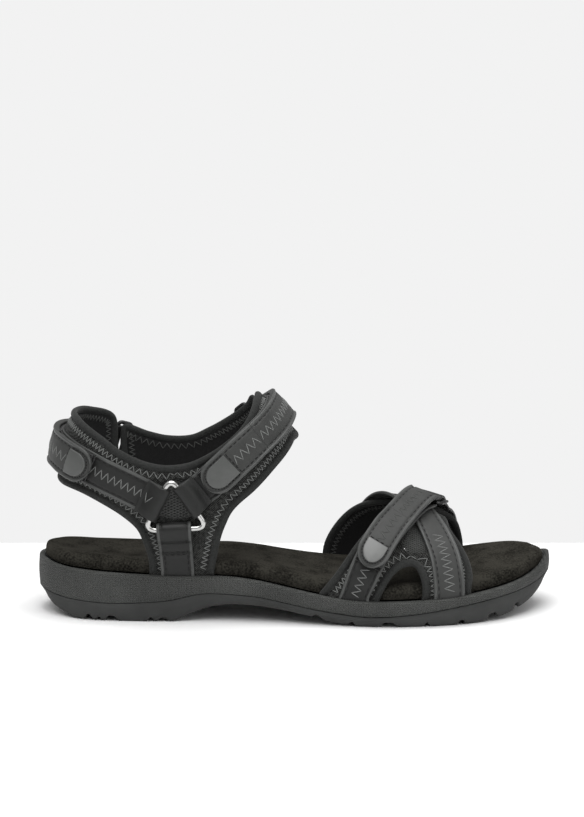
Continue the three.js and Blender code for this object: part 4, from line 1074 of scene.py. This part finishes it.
def makeSole():
    across = soleLook["across"]
    rows = []
    for q, scale in profile(soleLook["outsoleSide"], 9):
        def height(x, f, q=q):
            low = underside(x) + (parting(x) - 0.3 - underside(x)) * q
            cut = carve(x, np.where(f < 0.5, lateralAt(x), medialAt(x)) * 0.93)
            return np.minimum(parting(x) - 0.35, np.maximum(low, underside(x) + cut + 0.02 * q))
        rows.append({"scale": (0.978 + 0.022 * q, scale), "height": height, "push": treadPush, "q": q})
    obj = soleSolid("outsole", rows, across[0], (tread, noDish), "outsole")
    settle(obj, "sandal", ["outsole"])
    rows = []
    for q, scale in profile(soleLook["midsoleSide"], 12):
        def height(x, f, q=q):
            return parting(x) + (rimHeight(x, f) - 0.5 - parting(x)) * q
        rows.append({"scale": (1 + 0.003 * math.sin(math.pi * q), scale), "height": height})
    rows += [{"inset": inset, "height": lambda x, f, d=drop: rimHeight(x, f) - d}
             for inset, drop in soleLook["midsoleTop"]]
    dishes = (noDish, lambda x, y, f, z: z - cup(x) * np.sin(np.pi * f))
    settle(soleSolid("midsole", rows, across[1], dishes, "midsole"), "sandal", ["midsole"])
    toe = soleLook["footbedToe"]
    rows = [{"inset": inset, "height": lambda x, f, h=h: rimHeight(np.minimum(x, toe), f) + h}
            for inset, h in soleLook["footbedEdge"]]
    obj = soleSolid("footbedCover", rows, across[2], (noDish, footShape), "suede")
    settle(obj, "sandal", ["footbed_cover"])
    for node, finish, slotName in (("lasting_board", "board", "lasting_board"),
                                   ("footbed_core", "foam", "footbed_foam")):
        shownNodes[node].data.materials.clear()
        shownNodes[node].data.materials.append(finishes[finish])


makeSole()
print("sole ready")

# ankle: straps and pads over the ankle form, in (turn, height)
heelBand = bandOn(ankle, [[75.5, 60], [68, 64.3], [59, 68.8], [48, 73.3], [39, 76.5], [21.5, 80.5], [5, 82],
                          [-12, 82.5], [-30, 81.5], [-50, 78.5], [-64, 74.5], [-76, 69], [-84, 63]])
instepBand = bandOn(ankle, [[88.4, 61.5], [95, 66.7], [104.5, 74], [117.5, 82], [133.5, 89], [156, 95],
                            [172, 97.2], [188, 97.2], [204, 95], [226.5, 89], [242, 82], [255, 74],
                            [264, 66]])
stemBand = bandOn(ankle, [[82.2, 48], [82.6, 40], [83, 32], [83.4, 26], [83.4, 22.6]])
medialStemBand = bandOn(ankle, [[-83, 58], [-83, 50], [-83, 40], [-83, 32], [-83, 26], [-83, 22.6]])
lateralQuarter = [[71, 24.2], [70.5, 31], [68.5, 38.5], [65.5, 46], [59, 52], [49, 57.5], [34.5, 62.5],
                  [15, 64.5], [-10, 65.5], [-30, 66], [-52, 68], [-54, 80], [-52, 92], [-30, 98],
                  [-8, 99.5], [8, 99.5], [23.5, 98], [47, 91.5], [59.5, 85], [71, 80], [80.5, 78],
                  [91.5, 79], [102.5, 83], [116, 89], [137, 98], [154, 104], [170, 107], [186, 106],
                  [192, 96], [187, 86.5], [162.5, 84.5], [135, 75.5], [116.5, 64], [107.5, 55.5], [104, 48],
                  [102, 41.5], [100.5, 33], [99, 24.2]]
meshWindow = [[73.5, 55], [79, 68], [85, 72], [92.5, 68], [92.5, 54], [82, 52]]
medialQuarter = [[-71, 24.2], [-70, 34], [-67.5, 44], [-62, 55], [-56.5, 65], [-55.3, 79], [-57.5, 87.2],
                 [-72, 83], [-80, 81], [-91.5, 81], [-102.5, 85], [-116, 90.5], [-134, 97.5], [-150, 102.5],
                 [-154, 94], [-149, 82], [-135, 75.5], [-116.5, 64], [-107.5, 55.5], [-104, 48], [-102, 41],
                 [-100.5, 33], [-99, 24.2]]
layPad("lateralQuarterPad", ankle, lateralQuarter, [meshWindow], ["lateral_quarter_pad"], 3)
layPad("medialQuarterPad", ankle, medialQuarter, [], ["medial_quarter_pad"], 5)
lattice("lateralMeshPanel", ankle, meshWindow, 1.15, 0.3, ["lateral_mesh_panel"])
print("quarters ready")
ringLook = {"wire": 1.5, "bar": 8, "bend": 6.5, "tabWidth": 16.5, "tabShort": 10, "seamInset": 2.6}


def meet(p, q):  # the point nearest to two lines
    u, v, w = p[1] - p[0], q[1] - q[0], p[0] - q[0]
    uu, uv, vv, uw, vw = u @ u, u @ v, v @ v, u @ w, v @ w
    det = uu * vv - uv * uv
    return (p[0] + u * (uv * vw - vv * uw) / det + q[0] + v * (uu * vw - uv * uw) / det) / 2


def ringPiece():
    wire, across = ringLook["wire"], np.array([-ringLook["bar"], ringLook["bar"]])
    bars = [b["at"](0, across, strapMid + turnAt(wire)) for b in (heelBand, instepBand, stemBand)]
    corners = np.array([meet(bars[i], bars[(i + 1) % 3]) for i in range(3)])
    normal = unit(np.cross(corners[1] - corners[0], corners[2] - corners[0]))
    points, faces = tube(roundedLoop(corners, ringLook["bend"], 12), normal, wire, 18)
    settle(facing(meshFrom("triangleRing", points, faces, "chrome")), "sandal", ["triangle_ring"])


def ringTab():
    wide, far = ringLook["tabWidth"], stemBand["length"] + 1
    tab = Strap(stemBand, loopLine(ringLook["tabShort"], far, ringLook["wire"]), strapThick, wide, {"bead": 0.28})
    leather(tab.build("ringLoopTab", "leather"), "sandal", "ring_loop_tab")
    stitch = tab.total - (far - 12)
    low, high, half, end = stitch - 0.5, stitch + 1.7, wide / 2 - ringLook["seamInset"], tab.total - 3
    lines = [((low, -half), (low, half)), ((high, -half), (high, half)),
             ((low, half), (end, half)), ((low, -half), (end, -half))]
    leather(dashes(tab, "ringLoopSeams", lines, 1.9, 0.7))


ringPiece()
ringTab()
ankleStrap = {  # layers are heights above the form; barAt to tip are lengths along the band
    "start": loopStart(ringLook["wire"]), "wire": 1.0, "width": 16.4, "foldTop": 2.6, "mid": strapMid, "bulge": 0,
    "swing": 2.3, "zigzag": "thread", "patchFinish": "patchDark", "patchSlot": "tab_patch_dark",
    "layers": {"back": [5.6, 8.3], "tab": [6.9, 8.3], "hook": [5.5, 6.6], "loop": [4.3, 5.2],
               "patch": [8.55, 9.4]},
}
closure({**ankleStrap, "name": "heel", "band": heelBand, "barAt": heelBand["length"] - 38, "seam": 62, "tip": 35.5,
         "pileFrom": 37, "patchLength": 12.4,
         "runSewing": [("Zigzag", 21, 55, False), ("FoldZigzag", 1.5, 6.5, True)]})
closure({**ankleStrap, "name": "instep", "band": instepBand, "barAt": instepBand["length"] - 34, "seam": 44,
         "tip": 10.5, "pileFrom": 11.5, "patchLength": 16.5, "runSewing": []})


def anchorPiece(name, band, barAt, end, node, wire=ankleStrap["wire"], width=ankleStrap["width"], mid=strapMid):
    r, resting = turnAt(wire), mid + strapThick + gap
    line = [[end, strapMid], [barAt + 15, strapMid], [barAt + 9, mid], *arc(barAt, mid + r, r, 270, 90, 6),
            [barAt + 3, mid + 1.8 * r], [barAt + 8, resting], [barAt + 11, resting]]
    leather(Strap(band, line, strapThick, width, {"bead": 0.16}, -1).build(name, "leather"), "sandal", node)


for name, band, barAt, end, node in (("medialHeelAnchor", heelBand, 31.6, 12, "medial_heel_anchor"),
                                     ("medialInstepAnchor", instepBand, 27.6, 10, "medial_instep_anchor")):
    anchorPiece(name, band, band["length"] - barAt, band["length"] - end, node)
stemLook = {"height": 3.6, "width": 16.5}
stem = Strap(medialStemBand, [[s, stemLook["height"]] for s in (0, medialStemBand["length"] + 1)], strapThick,
             stemLook["width"])
leather(stem.build("medialStemStrap", "leather"), "sandal", "medial_stem_strap")
leather(dashes(stem, "medialStemSeams", edgeRows(stem)))
print("ankle ready")

# forefoot: straps and pads over the fore form, in (station, turn)
foreBand = bandOn(fore, [[29, -1.2], [29, 0], [32.5, 12], [37.5, 27], [44, 43], [51, 59], [57.5, 76],
                         [63.5, 92], [68, 107], [72, 124], [74.5, 142], [76, 162], [76.5, 180],
                         [76.5, 181.2]])
crossBand = bandOn(fore, [[74, -1.2], [74, 0], [74, 8], [72.4, 30], [69.4, 45], [65.6, 60], [61, 76],
                          [55, 92], [48.5, 110], [42, 130], [37, 150], [34.5, 168], [34, 180], [34, 181.2]])
lateralPad = [[12, 0], [18, 10.5], [24, 22.5], [29, 33.5], [37, 49.5], [44, 61], [52, 76], [62, 80],
              [73, 78], [76, 61], [81, 44.5], [84.5, 30], [86, 16], [85, 0], [61.5, 0], [61.5, 10],
              [60, 18], [57.5, 23.5], [53, 22.5], [49, 18.5], [45, 11], [41, 0]]
foreWindow = [[53, 34], [63.5, 34], [66, 43], [62, 56], [57.5, 56], [54, 45]]
medialPad = [[14, 180], [15, 168], [21.5, 150], [34, 128], [48, 113], [58, 105], [70, 105], [77, 118],
             [82, 134], [85, 158], [86, 180], [58, 180], [57, 171], [53.5, 165], [48, 164], [44.5, 170],
             [44, 180]]
layPad("forefootLateralPad", fore, lateralPad, [foreWindow], ["forefoot_lateral_pad"], 7)
layPad("forefootMedialPad", fore, medialPad, [], ["forefoot_medial_pad"], 9)
lattice("forefootLateralMesh", fore, foreWindow, 1.1, 0.33, ["forefoot_lateral_mesh"])
crossLook = {"width": 15, "swing": 2.6, "near": (3, 34), "farFrom": 60}
cross = Strap(crossBand, [[0.5, strapMid], [crossBand["length"] - 0.5, strapMid]], strapThick, crossLook["width"],
              {"bead": 0.3})
# built in the lighter strap leather: painted light
leather(cross.build("forefootCrossStrap", "leatherSoft"), "sandal", "forefoot_cross_strap")
leather(zigzag(cross, "crossZigzag", *crossLook["near"], crossLook["swing"]))
leather(zigzag(cross, "crossZigzagFar", crossLook["farFrom"], cross.total - 4, crossLook["swing"], "threadDark"))
leather(dashes(cross, "crossSeams", edgeRows(cross)))
foreStrap = {
    "name": "forefoot", "band": foreBand, "barAt": 77, "wire": 0.9, "runSewing": [("Zigzag", 2, 17, False)],
    "start": [[0.3, strapMid], [7, strapMid], [14, 4.95]], "width": 15, "foldTop": 2.4, "seam": 48, "tip": 17.5,
    "mid": 4.95, "pileFrom": 18.5, "patchLength": 11.6, "bulge": 1.6, "swing": 2.2, "zigzag": "threadTone",
    "layers": {"back": [7.35, 9.3], "tab": [7.9, 9.3], "hook": [6.8, 7.6], "loop": [5.8, 6.5],
               "patch": [9.55, 10.4]},
    "patchFinish": "patchLight", "patchSlot": "tab_patch_light",
}
closure(foreStrap)
anchorPiece("forefootAnchorStrap", foreBand, foreStrap["barAt"] + 6.4, foreBand["length"] + 0.5,
            "forefoot_anchor_strap", foreStrap["wire"], foreStrap["width"], foreStrap["mid"])
print("forefoot ready")

# floor, light and camera
studio = {
    "floor": 0.95, "floorRough": 0.9, "floorSpecular": 0.1, "floorReach": 4, "floorEnds": 0.150,
    # what the world shows below the horizon, just above it, and overhead: place on the ramp, level
    "sky": ((0.0, 0.888), (0.004, 0.15), (0.8, 0.7)),
    "target": (0, 0, 0.04),
    "lights": (("keyLight", (-0.2, -0.85, 1.3), 1.0, 8.0), ("topLight", (0.1, 0.0, 1.5), 1.3, 13.0),
               ("fillLight", (1.1, -0.9, 0.5), 0.8, 2.5)),  # name, place, size, power
}
stage = bpy.context.scene


def layFloor():
    paint = bpy.data.materials.new("floorPaint")
    paint.use_nodes = True
    shader = paint.node_tree.nodes["Principled BSDF"]
    shader.inputs["Base Color"].default_value = (*[studio["floor"]] * 3, 1)
    shader.inputs["Roughness"].default_value = studio["floorRough"]
    shader.inputs["Specular IOR Level"].default_value = studio["floorSpecular"]
    reach, back = studio["floorReach"], studio["floorEnds"]
    mesh = bpy.data.meshes.new("floor")
    corners = [(-reach, -reach, 0), (reach, -reach, 0), (reach, back, 0), (-reach, back, 0)]
    mesh.from_pydata(corners, [], [(0, 1, 2, 3)])
    mesh.materials.append(paint)
    obj = bpy.data.objects.new("floor", mesh)
    stage.collection.objects.link(obj)


layFloor()
for name, place, size, power in studio["lights"]:
    light = bpy.data.lights.new(name, "AREA")
    light.shape, light.size, light.energy = "DISK", size, power
    lamp = bpy.data.objects.new(name, light)
    lamp.location, lamp.rotation_mode = place, "QUATERNION"
    lamp.rotation_quaternion = (Vector(studio["target"]) - Vector(place)).to_track_quat("-Z", "Y")
    stage.collection.objects.link(lamp)
world = bpy.data.worlds.new("studioWorld")
stage.world = world
world.use_nodes = True
sky = world.node_tree
heightRamp = sky.nodes.new("ShaderNodeValToRGB")
skyParts = sky.nodes.new("ShaderNodeSeparateXYZ")
sky.links.new(sky.nodes.new("ShaderNodeTexCoord").outputs["Generated"], skyParts.inputs["Vector"])
sky.links.new(skyParts.outputs["Z"], heightRamp.inputs["Fac"])
heightRamp.color_ramp.elements.new(0.5)
for stop, (place, level) in zip(heightRamp.color_ramp.elements, studio["sky"]):
    stop.position, stop.color = place, (level, level, level, 1)
sky.links.new(heightRamp.outputs["Color"], sky.nodes["Background"].inputs["Color"])

view = {"elevation": 13.5, "distance": 1.5, "tilt": 9.714, "lens": 132.19, "aside": -0.0015, "sensor": 36}
camera = bpy.data.objects.new("camera", bpy.data.cameras.new("camera"))
camera.data.lens, camera.data.sensor_width = view["lens"], view["sensor"]
camera.data.clip_start, camera.data.clip_end = 0.1, 20
up = math.radians(view["elevation"])
camera.location = (view["aside"], -view["distance"] * math.cos(up), view["distance"] * math.sin(up))
camera.rotation_euler = (math.radians(90 - view["tilt"]), 0, 0)
stage.collection.objects.link(camera)
stage.camera = camera
stage.view_settings.view_transform = "Standard"
